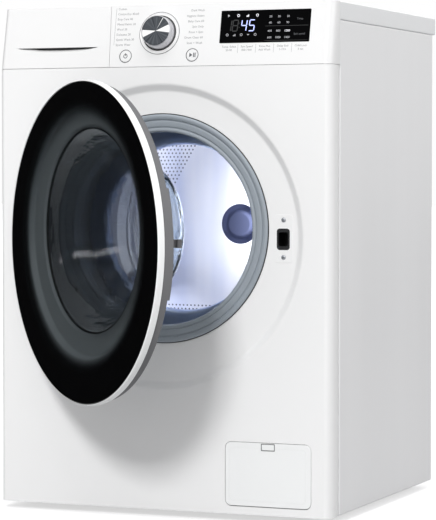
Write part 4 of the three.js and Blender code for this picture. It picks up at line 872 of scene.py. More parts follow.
    def words(self, text: str, size: float, place: Matrix, align: Align = Align.MIDDLE) -> "Form":
        """Adds flat lettering.

        Args:
            text: the words.
            size: the height of a line, in millimetres.
            place: where it stands.
            align: which end of the words stands there.

        Returns:
            This form.
        """
        curve = bpy.data.curves.new("words", "FONT")
        curve.body = text
        curve.size = size
        curve.align_x = align.value
        curve.align_y = "CENTER"
        curve.extrude = 0.05
        curve.resolution_u = 2
        holder = placed("words", curve)
        mesh = settled(holder)
        part = bmesh.new()
        part.from_mesh(mesh)
        bmesh.ops.remove_doubles(part, verts=part.verts, dist=0.0005)
        bpy.data.meshes.remove(mesh)
        bpy.data.objects.remove(holder)
        bpy.data.curves.remove(curve)
        return self.take(part, place)

    def screw(self, x: float, z: float, y: float, facing: Facing, radius: float = 4) -> "Form":
        """Adds a cross-head screw.

        Args:
            x: its middle.
            z: its middle.
            y: the face that it stands on.
            facing: which way its head looks.
            radius: the head's radius.

        Returns:
            This form.
        """
        out = facing.value * radius
        tip = y + out * 0.45
        dome = [(0, tip), (radius * 0.7, tip), (radius, y + out * 0.05), (radius, y), (0, y)]
        head = Form().turned(eased(dome, radius * 0.2), (x, z), 32)
        slot = tuple(sorted((tip - out * 0.3, tip + out)))
        for long, short in ((0.62, 0.13), (0.13, 0.62)):
            head.minus(Form().block(about(x, radius * long), slot, about(z, radius * short)))
        return self.take(head.bm)

    def held(self) -> bpy.types.Object:
        """The form as a scene object, for a boolean.

        Returns:
            The object.
        """
        mesh = bpy.data.meshes.new("form")
        self.bm.to_mesh(mesh)
        return placed("form", mesh)

    def combine(self, other: "Form", cut: Cut) -> "Form":
        """Joins or cuts by another form.

        Args:
            other: the tool, which is used up.
            cut: how the two combine.

        Returns:
            This form.
        """
        whole, tool = self.held(), other.held()
        other.bm.free()
        boolean = whole.modifiers.new("cut", "BOOLEAN")
        boolean.object = tool
        boolean.operation = cut.value
        boolean.solver = "EXACT"
        mesh = settled(whole)
        self.bm.clear()
        self.bm.from_mesh(mesh)
        for used in (whole, tool):
            old = used.data
            bpy.data.objects.remove(used)
            bpy.data.meshes.remove(old)
        bpy.data.meshes.remove(mesh)
        return self

    def minus(self, *tools: "Form") -> "Form":
        """Cuts other forms out.

        Args:
            tools: the forms, which are used up.

        Returns:
            This form.
        """
        for tool in tools:
            self.combine(tool, Cut.REMOVE)
        return self

    def plus(self, *others: "Form") -> "Form":
        """Joins other forms on.

        Args:
            others: the forms, which are used up.

        Returns:
            This form.
        """
        for other in others:
            self.combine(other, Cut.JOIN)
        return self

    def piece(self, name: str, finish: Finish, body: str, stands_for: Sequence[str] = (),
              place: Matrix | None = None, crease: float = 32, bevel: float = 0) -> bpy.types.Object:
        """Turns the form into a finished piece of the machine.

        Args:
            name: the piece's name.
            finish: its finish.
            body: the body it rides on.
            stands_for: the model's nodes that it replaces.
            place: a last move in the machine's millimetres.
            crease: the angle in degrees past which an edge stays sharp.
            bevel: millimetres that its sharp edges are rounded by.

        Returns:
            The piece.
        """
        self.bm.transform(MACHINE.bench() @ (place or Matrix()))
        mesh = poured(self.bm, name)
        mesh.polygons.foreach_set("use_smooth", [True] * len(mesh.polygons))
        mesh.set_sharp_from_angle(angle=math.radians(crease))
        shown = placed(name, mesh)
        mesh.materials.append(finish.material())
        if bevel:
            rounded = shown.modifiers.new("rounded", "BEVEL")
            rounded.width = bevel / 1000
            rounded.segments = 2
            rounded.limit_method = "ANGLE"
            rounded.angle_limit = math.radians(40)
        even = shown.modifiers.new("even_normals", "WEIGHTED_NORMAL")
        even.keep_sharp = True
        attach(shown, body)
        if stands_for:
            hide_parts(*stands_for)
        log.info("%s: %d faces, rides on %s", name, len(mesh.polygons), body)
        return shown


def dress(finish: Finish, *nodes: str) -> None:
    """Gives nodes that the model lends their finish.

    Args:
        finish: the finish.
        nodes: the nodes' names.
    """
    for name in nodes:
        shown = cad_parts[name]
        if not shown.material_slots:
            shown.data.materials.append(None)
        for slot in shown.material_slots:
            slot.material = finish.material()
        log.info("%s: dressed in %s", name, finish.name)


# ---------------------------------------------------------------- cabinet


@dataclass
class Cabinet:
    """The painted steel shell, the lid, the feet and what shows at the back."""

    sheet: float = 1.2
    dish_radius: float = 252.1
    dish_floor: float = 241.5
    dish_rim: float = 5.0
    dish_roll: float = 2.4
    lip_flare: float = 5.5
    lip_roll: float = 4.0
    lip_back: float = 24.0
    tuck: float = 2.0
    foot_roll: float = 5.0
    head_roll: float = 0.9
    flap_x: Span = (116.3, 267.3)
    flap_z: Span = (25.5, 132.0)
    flap_corner: float = 11.0
    side_front: float = 44.0
    side_fold: float = 30.0
    side_roll: float = 2.6
    wall: float = 3.0
    back: float = 540.0
    lid_back: float = 556.0
    lid_roll: float = 2.2
    foot_x: float = 246.0
    foot_ys: Span = (102.0, 498.0)
    pad: float = 19.0
    nut: float = 10.0
    stem: float = 5.2
    thread: float = 0.8
    thread_pitch: float = 1.2
    hatch_x: Span = (-205.0, 205.0)
    hatch_z: Span = (170.0, 690.0)
    hatch_flange: float = 22.0
    rib_half: float = 150.0
    rib_pitch: float = 130.0
    facets: int = 192

    def build(self) -> None:
        """Makes every piece of the cabinet."""
        self.front_panel()
        for side in Side:
            self.side_panel(side)
        self.lid()
        for end, y in zip(("front", "rear"), self.foot_ys):
            for side in Side:
                self.foot(f"foot_{end}_{side.name.lower()}", side.value * self.foot_x, y)
        self.rear_hatch()
        dress(STOCK.zinc, "rear_panel", "base_pan")

    def dish(self) -> Form:
        """The round hollow that the door shuts into, with the lip that holds the seal.

        Returns:
            The form.
        """
        depth, bore, edge = MACHINE.dish_depth, MACHINE.porthole, self.dish_radius
        slope = [(0, depth), (self.dish_floor, depth), (edge, 0), (edge + self.dish_rim, 0)]
        line = eased(slope, self.dish_roll, 8)
        back = [(radius, y + self.sheet) for radius, y in line[::-1]]
        dish = Form().turned(line + back, (0, MACHINE.dish_z), self.facets)
        mouth, axis = bore + self.lip_flare, (0, MACHINE.axis_z)
        dish.minus(Form().tube((0, mouth), (0, 20), axis, self.facets),
                   Form().plate(*MACHINE.lock_mouth(), (0, 20), 5))
        lip = eased([(mouth, depth), (bore, depth + self.lip_roll), (bore, self.lip_back)], self.lip_roll, 6)
        turned_back = [(radius + self.sheet, y) for radius, y in lip[::-1]]
        return dish.turned(lip + turned_back, axis, self.facets)

    def front_panel(self) -> None:
        """The pressed front: it wraps round both flanks and takes the dish and the flap."""
        rows = (MACHINE.ground_gap, MACHINE.panel_z - MACHINE.fit)
        panel = Form().upright(MACHINE.plan(0, MACHINE.flank, self.tuck), rows)
        panel.round_rim(rows[0], self.foot_roll).round_rim(rows[1], self.head_roll)
        inside = MACHINE.plan(self.sheet + self.tuck, MACHINE.flank + 1)
        panel.minus(
            Form().upright(inside, widened(rows, -self.foot_roll)),
            Form().tube((0, self.dish_radius + self.dish_rim), (-2, 4), (0, MACHINE.dish_z), self.facets),
            Form().plate(self.flap_x, self.flap_z, (-2, 6), self.flap_corner),
        )
        panel.take(self.dish().bm)
        panel.piece("front_panel_pressing", STOCK.paint, "cabinet", ["front_panel"], crease=40)

    def side_panel(self, side: Side) -> None:
        """One flank, with its edges folded in.

        Args:
            side: which flank.
        """
        rows = (MACHINE.ground_gap, MACHINE.height - MACHINE.lid_thick - MACHINE.fit)
        ys, half = (self.side_front, self.back), MACHINE.half
        panel = Form().block(side.span(half - self.side_fold, half), ys, rows, self.side_roll)
        hollow = side.span(half - self.side_fold - 1, half - self.wall)
        panel.minus(Form().block(hollow, widened(ys, -self.wall), widened(rows, -self.wall)))
        name = f"side_panel_{side.name.lower()}"
        panel.piece(f"{name}_pressing", STOCK.side_paint, "cabinet", [name])

    def lid(self) -> None:
        """The lid: a faced board whose edge band stands a little proud of its underside."""
        xs, ys = (-MACHINE.half, MACHINE.half), (self.side_front, self.lid_back)
        rows = (MACHINE.height - MACHINE.lid_thick, MACHINE.height)
        lid = Form().block(xs, ys, rows, self.lid_roll)
        under = (rows[0] - 1, rows[1] - self.wall)
        lid.minus(Form().block(widened(xs, -self.wall), widened(ys, -self.wall), under))
        lid.piece("lid_board", STOCK.lid, "cabinet", ["top_cover"])

    def foot(self, name: str, x: float, y: float) -> None:
        """A levelling foot: a rubber pad, a hexagon nut and a threaded stem.

        Args:
            name: the model's node.
            x: its middle.
            y: its middle.
        """
        stand = Matrix.Translation((x, y, 0)) @ Matrix.Rotation(math.pi / 2, 4, "X")
        pad = eased([(0, 0), (self.pad, 0), (self.pad, 5), (self.pad - 8, 8), (0, 8)], 1.4)
        foot = Form().turned(pad, steps=48, place=stand)
        turns = [turn * math.pi / 3 for turn in range(6)]
        nut = [(self.nut * math.cos(turn), self.nut * math.sin(turn)) for turn in turns]
        foot.slab(nut, (7.5, 13), ease=0.8, place=stand)
        thread = [(self.stem + self.thread * (step % 2), 8 + self.thread_pitch * step) for step in range(27)]
        foot.turned([(0, 8), *thread, (0, 40.4)], steps=24, place=stand)
        foot.piece(name + "_leveller", STOCK.hose, "cabinet", [name])

    def rear_hatch(self) -> None:
        """The pressed rear cover with three swaged ribs and its screws."""
        y, xs, zs, flange = self.back - 1, self.hatch_x, self.hatch_z, self.hatch_flange
        hatch = Form().plate(widened(xs, flange), widened(zs, flange), (y, y + 1), 30, 0.3)
        hatch.plate(widened(xs, -6), widened(zs, -6), (y, y + 9), 54, 4)
        for row in (-1, 0, 1):
            rib = about(sum(zs) / 2 + self.rib_pitch * row, 5)
            hatch.plate(about(0, self.rib_half), rib, (y + 6, y + 12), 4.9, 2.4)
        left, right = widened(xs, 8)
        for x in (left, 0, right):
            for z in widened(zs, 10):
                hatch.screw(x, z, y + 1, Facing.BACK)
        hatch.piece("rear_hatch", STOCK.zinc, "cabinet", ["rear_cover"])


# ---------------------------------------------------------------- control panel


class Glyph(Enum):
    """Small marks on the buttons and in the display."""

    RING = "ring"
    BAR = "bar"
    POWER = "power"
    PLAY = "play"
    BARS = "bars"
    TRIANGLE = "triangle"


@dataclass
class Fascia:
    """The leaning shell that the control panel and the drawer's front are cut from."""

    wall: float = 2.6
    seam: float = 0.7
    seam_lean: float = 5.4
    seam_reach: float = 5.0

    def solid(self, inset: float = 0, spill: float = 0) -> Form:
        """The whole leaning block.

        Args:
            inset: how far inside the outer skin.
            spill: how far it runs out below and behind.

        Returns:
            The form.
        """
        rows = (MACHINE.panel_z + MACHINE.fit - spill, MACHINE.height - MACHINE.fit - inset)
        rate = MACHINE.lean_rate()
        shear = Matrix(((1, 0, 0, 0), (0, 1, rate, -rate * MACHINE.panel_z), (0, 0, 1, 0), (0, 0, 0, 1)))
        block = Form().upright(MACHINE.plan(inset, 4 * MACHINE.flank), rows, shear)
        keep = Form().block(about(0, MACHINE.half + 1), (-6, MACHINE.flank + spill), widened(rows, 1))
        return block.combine(keep, Cut.KEEP)

    def part(self, side: Side) -> Form:
        """The shell on one side of the seam.

        Args:
            side: which side.

        Returns:
            The form.
        """
        foot, head = widened((MACHINE.panel_z, MACHINE.height), self.seam_reach)
        near = MACHINE.seam_x + side.value * self.seam / 2
        far = side.value * (MACHINE.half + 2)
        drift = self.seam_lean * (head - foot) / (MACHINE.height - MACHINE.panel_z)
        keep = Form().slab([(near, foot), (far, foot), (far, head), (near - drift, head)], (-10, 60))
        shell = self.solid().minus(self.solid(self.wall, 5))
        return shell.combine(keep, Cut.KEEP)


@dataclass
class Controls:
    """The control panel: display, dial, two push buttons and the lettering."""

    dial_x: float = -5.6
    dial_up: float = 56.9
    dial_base: float = 28.0
    dial_top: float = 26.0
    dial_proud: float = 17.0
    ring: float = 35.5
    button_up: float = 18.7
    button: float = 10.0
    power_x: float = -64.0
    start_x: float = 56.3
    window_x: Span = (103.0, 259.5)
    window_up: Span = (37.6, 92.0)
    lit: float = 0.36
    ink: Span = (0, 0.12)
    figure_up: float = 57.4
    figure_height: float = 18.2
    lit_figures: tuple[tuple[str, float], ...] = (("bcfg", 143.6), ("acdfg", 157.2))
    unlit_figures: tuple[tuple[str, float], ...] = (("bc", 116.6), ("abcdefg", 128.2))
    colon_x: float = 136.2
    colon_ups: Span = (63.5, 70.5)
    icon_up: float = 83.4
    icon: float = 4.6
    bright_icons: tuple[tuple[float, Glyph], ...] = (
        (133.5, Glyph.RING), (149.8, Glyph.BARS), (166.6, Glyph.RING))
    dim_icon_x: float = 116.6
    key_icon_up: float = 51.1
    key_icon: float = 4.4
    key_icons: tuple[tuple[float, Glyph], ...] = (
        (116, Glyph.RING), (128.4, Glyph.BARS), (140.6, Glyph.RING), (152.7, Glyph.BAR), (165.1, Glyph.RING))
    label_ups: tuple[float, ...] = (80.3, 70.0, 56.3, 45.3)
    label_columns: tuple[tuple[float, tuple[str, ...]], ...] = (
        (190.2, ("20", "40", "400", "600")), (205, ("30", "60", "800", "1000")),
        (220.6, ("50", "90", "1200", "1400")))
    chosen: str = "1200"
    row_names: tuple[tuple[float, str], ...] = ((75.8, "Temp."), (50.7, "Spin speed"))
    row_name_x: float = 241.8
    rule_x: Span = (181.8, 256.4)
    rule_ups: Span = (64.8, 40.2)
    letter: float = 5.2
    left_x: float = -84.0
    left_up: float = 99.6
    left_pitch: float = 8.77
    right_x: float = 72.8
    right_up: float = 94.1
    right_pitch: float = 9.2
    programmes_left: tuple[str, ...] = ("Cotton", "Cotton Eco 40-60", "Easy Care 40", "Mixed Fabric 30",
                                        "Wool 30", "Delicates 20", "Quick Wash 30", "Sports Wear")
    programmes_right: tuple[str, ...] = ("Dark Wash", "Hygiene Steam", "Baby Care 60", "Spin Only",
                                         "Rinse + Spin", "Drum Clean 60", "Soak + Wash")
    touch_x: float = 120.6
    touch_pitch: float = 31.3
    touch_up: float = 31.2
    touch_keys: tuple[tuple[str, str], ...] = (("Temp. Select", "20-90"), ("Spin Speed", "400-1400"),
                                               ("Rinse Plus", "Add Wash"), ("Delay End", "1-19 h"),
                                               ("Child Lock", "3 sec"))

    def build(self) -> None:
        """Makes every piece of the control panel."""
        self.panel()
        self.dial()
        self.buttons()
        self.display()
        self.printing()
        dress(STOCK.board, "control_board")

    def panel(self) -> None:
        """The moulded panel with its openings and the dished ring round the dial."""
        through, base, ring = (-6, 12), self.dial_base, self.ring
        dial = MACHINE.slope(self.dial_x, self.dial_up)
        xs, zs = widened(self.window_x, MACHINE.fit), widened(self.window_up, MACHINE.fit)
        panel = Fascia().part(Side.RIGHT)
        panel.minus(Form().plate(xs, zs, through, 1.5, place=MACHINE.slope()),
                    Form().tube((0, base + 1), through, steps=96, place=dial))
        for x in (self.power_x, self.start_x):
            key = MACHINE.slope(x, self.button_up)
            panel.minus(Form().tube((0, self.button + 0.35), through, steps=64, place=key))
        line = [(base + 0.6, 1.4), (ring - 1, -0.5), (ring, -0.5), (ring, 1.5), (30, 3.2), (30, 9), (4.6, 9),
                (4.6, 7), (base + 0.6, 7)]
        panel.turned(eased(line, 0.5, 4), place=dial)
        panel.piece("control_panel_moulding", STOCK.fascia, "cabinet", ["control_panel"], bevel=0.5)

    def dial(self) -> None:
        """The dial: a turned silver cap with a spun face, a black ring at its foot that is painted shadow,
        and a grey line round it.
        """
        top, base, ring = -self.dial_proud, self.dial_base, self.ring
        place = MACHINE.slope(self.dial_x, self.dial_up)
        rim = self.dial_top - 1.1
        cap = [(0, top + 4), (rim, top + 4), (rim, top), (self.dial_top, top + 0.8), (base, -1), (base, 2),
               (rim, 2), (rim - 2, top + 6), (8, top + 6), (3.9, 4), (3.9, 15), (0, 15)]
        Form().turned(eased(cap, 0.7, 4), place=place).piece("dial_cap", STOCK.silver, "dial", ["dial_knob"])
        face = [(0, top + 1.1), (rim - 3, top + 0.4), (rim - 0.3, top + 0.7), (rim - 0.3, top + 3.7),
                (0, top + 3.7)]
        spun = Form().turned(eased(face, 0.5, 4), place=place)
        spun.piece("dial_spun_face", STOCK.face, "dial", ["dial_face"])
        line = [(ring - 0.3, -0.58), (ring + 0.6, -0.3), (ring + 0.6, 0.2), (ring - 0.3, 0.2)]
        Form().turned(line, place=place).piece("dial_ring_line", STOCK.ring, "cabinet")
        # A black ring round the dial's base: painted shadow between the dial and the panel.
        foot = [(base + 0.2, 2), (base + 0.2, -0.9), (base + 1.9, -0.7), (base + 2.1, 2)]
        Form().turned(foot, place=place).piece("dial_painted_shadow_ring", STOCK.black, "cabinet")

    def buttons(self) -> None:
        """Two push buttons with their marks, each in a thin dark ring."""
        cap, sleeve = self.button, (self.button + 0.36, self.button + 1.2)
        shape = [(0, -0.4), (cap, -0.4), (cap, 7.6), (cap + 1.8, 7.6), (cap + 1.8, 9), (4, 9), (3, 14.4),
                 (0, 14.4)]
        keys = ((self.power_x, "power", Glyph.POWER, 0), (self.start_x, "start", Glyph.PLAY, -2.2))
        for x, name, glyph, shift in keys:
            key, place = f"{name}_key", MACHINE.slope(x, self.button_up)
            button = Form().turned(eased(shape, 0.6, 4), steps=64, place=place)
            button.piece(key, STOCK.fascia, key, [f"{name}_button"])
            ring = Form().tube(sleeve, (-0.25, 6), steps=64, place=place)
            ring.piece(f"{key}_ring", STOCK.dark_print, "cabinet")
            mark = Form()
            self.mark(mark, glyph, x + shift, self.button_up, 7.6, 0.46)
            mark.piece(f"{key}_mark", STOCK.dark_print, key)

    def mark(self, form: Form, glyph: Glyph, x: float, up: float, size: float, out: float) -> None:
        """Adds a small mark.

        Args:
            form: what it is added to.
            glyph: which mark.
            x: millimetres right of the middle.
            up: millimetres up the slope.
            size: its height in millimetres.
            out: millimetres proud of the panel's face.
        """
        half, line = size / 2, size * 0.16
        place = MACHINE.slope(x, up, out)
        flat = (0, 0.15)
        if glyph in (Glyph.RING, Glyph.POWER):
            form.tube((half - line, half), flat, steps=24, place=place)
        if glyph is Glyph.POWER:
            stem = (half * 0.1, half * 1.35)
            form.plate(about(0, line * 0.6), stem, (flat[0] - 0.05, flat[1]), line * 0.4, place=place)
        if glyph is Glyph.BAR:
            form.plate(about(0, half * 0.8), about(0, line), flat, line * 0.8, place=place)
        if glyph is Glyph.BARS:
            for step in (-1, 0, 1):
                rows = (-half, half * (0.2 + 0.4 * step))
                form.plate(about(step * size * 0.34, line * 0.7), rows, flat, 0.1, place=place)
        if glyph in (Glyph.TRIANGLE, Glyph.PLAY):
            form.slab([(-half * 0.7, -half), (half * 0.8, 0), (-half * 0.7, half)], flat, place=place)
        if glyph is Glyph.PLAY:
            for step in (0, 1):
                bar = about(half * (1.3 + 0.7 * step), line * 0.7)
                form.plate(bar, (-half, half), flat, 0.1, place=place)

    def digit(self, form: Form, segments: str, x: float) -> None:
        """Adds one leaning seven-segment figure.

        Args:
            form: what it is added to.
            segments: the lit segments, by their usual letters from a to g.
            x: the figure's middle.
        """
        width, thick = self.figure_height * 0.48, self.figure_height * 0.085
        half = self.figure_height / 2
        level = {"a": 2, "g": 1, "d": 0}
        upright = {"f": (-1, 1), "b": (1, 1), "e": (-1, 0), "c": (1, 0)}
        slant = Matrix(((1, 0, 0.09, 0), (0, 1, 0, 0), (0, 0, 1, 0), (0, 0, 0, 1)))
        for letter in segments:
            if letter in level:
                xs, zs = about(0, width / 2 - thick * 0.25), about(level[letter] * half, thick / 2)
            else:
                side, step = upright[letter]
                xs = about(side * width / 2, thick / 2)
                zs = (step * half + thick * 0.3, step * half + half - thick * 0.3)
            place = MACHINE.slope(x, self.figure_up, self.lit) @ slant
            form.plate(xs, zs, self.ink, thick * 0.35, place=place)

    def display(self) -> None:
        """The black display with its lit figures, icons and small labels."""
        Form().plate(self.window_x, self.window_up, (-0.2, 1.9), 1.2, 0.25, place=MACHINE.slope()).piece(
            "display_glass_pane", STOCK.window, "cabinet", ["display_window"])
        lit, ghost, bright, dim, named = (Form() for _ in range(5))
        face = MACHINE.slope(out=self.lit)
        for form, figures in ((lit, self.lit_figures), (ghost, self.unlit_figures)):
            for segments, x in figures:
                self.digit(form, segments, x)
        for up in self.colon_ups:
            ghost.plate(about(self.colon_x, 0.7), about(up, 0.7), self.ink, 0.3, place=face)
        for x, glyph in self.bright_icons:
            self.mark(bright, glyph, x, self.icon_up, self.icon, self.lit)
        self.mark(dim, Glyph.TRIANGLE, self.dim_icon_x, self.icon_up, self.icon, self.lit)
        for x, glyph in self.key_icons:
            self.mark(dim, glyph, x, self.key_icon_up, self.key_icon, self.lit)
        for x, labels in self.label_columns:
            for up, label in zip(self.label_ups, labels):
                form = bright if label == self.chosen else dim
                form.words(label, 5.0, MACHINE.lettered(x, up, 0.42))
        for up, word in self.row_names:
            named.words(word, 4.6, MACHINE.lettered(self.row_name_x, up, 0.42))
        for up in self.rule_ups:
            ghost.plate(self.rule_x, about(up, 0.3), self.ink, 0.1, place=face)
        lit.piece("lit_figures", STOCK.digits, "cabinet")
        bright.piece("bright_display_marks", STOCK.bright_mark, "cabinet")
        dim.piece("dim_display_marks", STOCK.marks, "cabinet")
        named.piece("display_row_names", STOCK.quiet_marks, "cabinet")
        # The unlit figures, colon and rules glow faintly: painted light.
        ghost.piece("unlit_figures", STOCK.painted_glow_marks, "cabinet")

    def printing(self) -> None:
        """The grey printing on the panel: programmes, a rule and the touch keys' names."""
        printed = Form()
        for row, name in enumerate(self.programmes_left):
            place = MACHINE.lettered(self.left_x, self.left_up - self.left_pitch * row)
            printed.words(name, self.letter, place, Align.LEFT)
        for row, name in enumerate(self.programmes_right):
            place = MACHINE.lettered(self.right_x, self.right_up - self.right_pitch * row)
            printed.words(name, self.letter, place, Align.RIGHT)
        face = MACHINE.slope(out=0.08)
        for step, lines in enumerate(self.touch_keys):
            x = self.touch_x + self.touch_pitch * step
            for row, text in enumerate(lines):
                printed.words(text, 4.8, MACHINE.lettered(x, self.touch_up - 5.8 * row))
            if step:
                printed.plate(about(x - 15.6, 0.2), (20.5, 35.5), (0, 0.1), 0.1, place=face)
        printed.plate(about(self.left_x - 3.2, 0.22), (38, 101.4), (0, 0.1), 0.1, place=face)
        printed.piece("panel_printing", STOCK.print, "cabinet")


# ---------------------------------------------------------------- detergent drawer


@dataclass
class Drawer:
    """The detergent drawer: a front with a slot for the fingers, and its tray."""

    slot_x: Span = (-267.6, -116.2)
    slot_z: float = 781.5
    sag: float = 8.0
    slot_reach: float = 0.3
    depth: float = 18.0
    pocket_wall: float = 2.5
    lip_rows: tuple[Span, ...] = ((-0.1, 0.0), (1.6, 0.45), (6.5, 1.0))
    lip_drop: float = 0.5
    lip_sheet: float = 0.6
    lip_open: Span = (0.1, 0.43)
    lip_ramp: Span = (0.14, 0.26)

    def build(self) -> None:
        """Makes every piece of the drawer."""
        self.front()
        dress(STOCK.fascia, "drawer_tray", "dispenser_housing")
        dress(STOCK.cap, "softener_cap")
        dress(STOCK.hose, "fill_hose")

    def slot(self) -> list[Point]:
        """The lens-shaped mouth: a straight upper edge over a sagging lower one.

        Returns:
            Its lower edge from left to right.
        """
        left, right = self.slot_x
        low = self.slot_z - 4 * self.sag / 3
        reach = (right - left) * self.slot_reach
        curve = interpolate_bezier(Vector((left, self.slot_z)), Vector((left + reach, low)),
                                   Vector((right - reach, low)), Vector((right, self.slot_z)), 40)
        return [(point.x, point.y) for point in curve]

    def front(self) -> None:
        """The front, with a grey pocket behind its slot, whose grey is painted shade."""
        fascia = Fascia()
        face = MACHINE.lean_rate() * (self.slot_z - MACHINE.panel_z)
        front = fascia.part(Side.LEFT)
        front.minus(Form().slab(self.slot(), (-4, face + fascia.wall + 3)))
        front.piece("drawer_front_moulding", STOCK.fascia, "drawer", ["drawer_front"], bevel=0.5)
        wall = self.pocket_wall
        xs, zs = widened(self.slot_x, 3), (self.slot_z - self.sag - 6, self.slot_z + 22)
        pocket = Form().block(xs, (face - 1.6, face + self.depth + 3), zs)
        pocket.minus(Form().block(widened(xs, -wall), (face - 8, face + self.depth), widened(zs, -wall)))
        pocket.combine(fascia.solid(fascia.wall + 0.05, 0), Cut.KEEP)
        # The pocket's grey is painted shade.
        pocket.piece("drawer_finger_pocket", STOCK.smoke, "drawer")
        self.lip(face)

    def lip(self, face: float) -> None:
        """The lower lip, which turns in and up behind the mouth and nearly shuts its left end.

        Args:
            face: how far back the front's face is at the mouth.
        """
        form = Form()
        bm = form.bm
        left, right = self.slot_x
        shut, open_share = self.lip_open
        start, end = self.lip_ramp
        for depth, grow in self.lip_rows:
            row = []
            for x, z in self.slot():
                along = (x - left) / (right - left)
                ramp = min(1.0, max(0.0, (along - start) / (end - start)))
                rise = (self.slot_z - z) * (1 - shut - (open_share - shut) * ramp) * grow
                row.append(bm.verts.new((x, face + depth, z + rise - self.lip_drop)))
            for pair in zip(row, row[1:]):
                bm.edges.new(pair)
        bmesh.ops.bridge_loops(bm, edges=bm.edges[:])
        bmesh.ops.recalc_face_normals(bm, faces=bm.faces[:])
        if sum(facet.normal.y for facet in bm.faces) > 0:
            bmesh.ops.reverse_faces(bm, faces=bm.faces[:])
        bmesh.ops.solidify(bm, geom=bm.faces[:], thickness=self.lip_sheet)
        form.piece("drawer_finger_lip", STOCK.fascia, "drawer")


# ---------------------------------------------------------------- drum, tub and seal


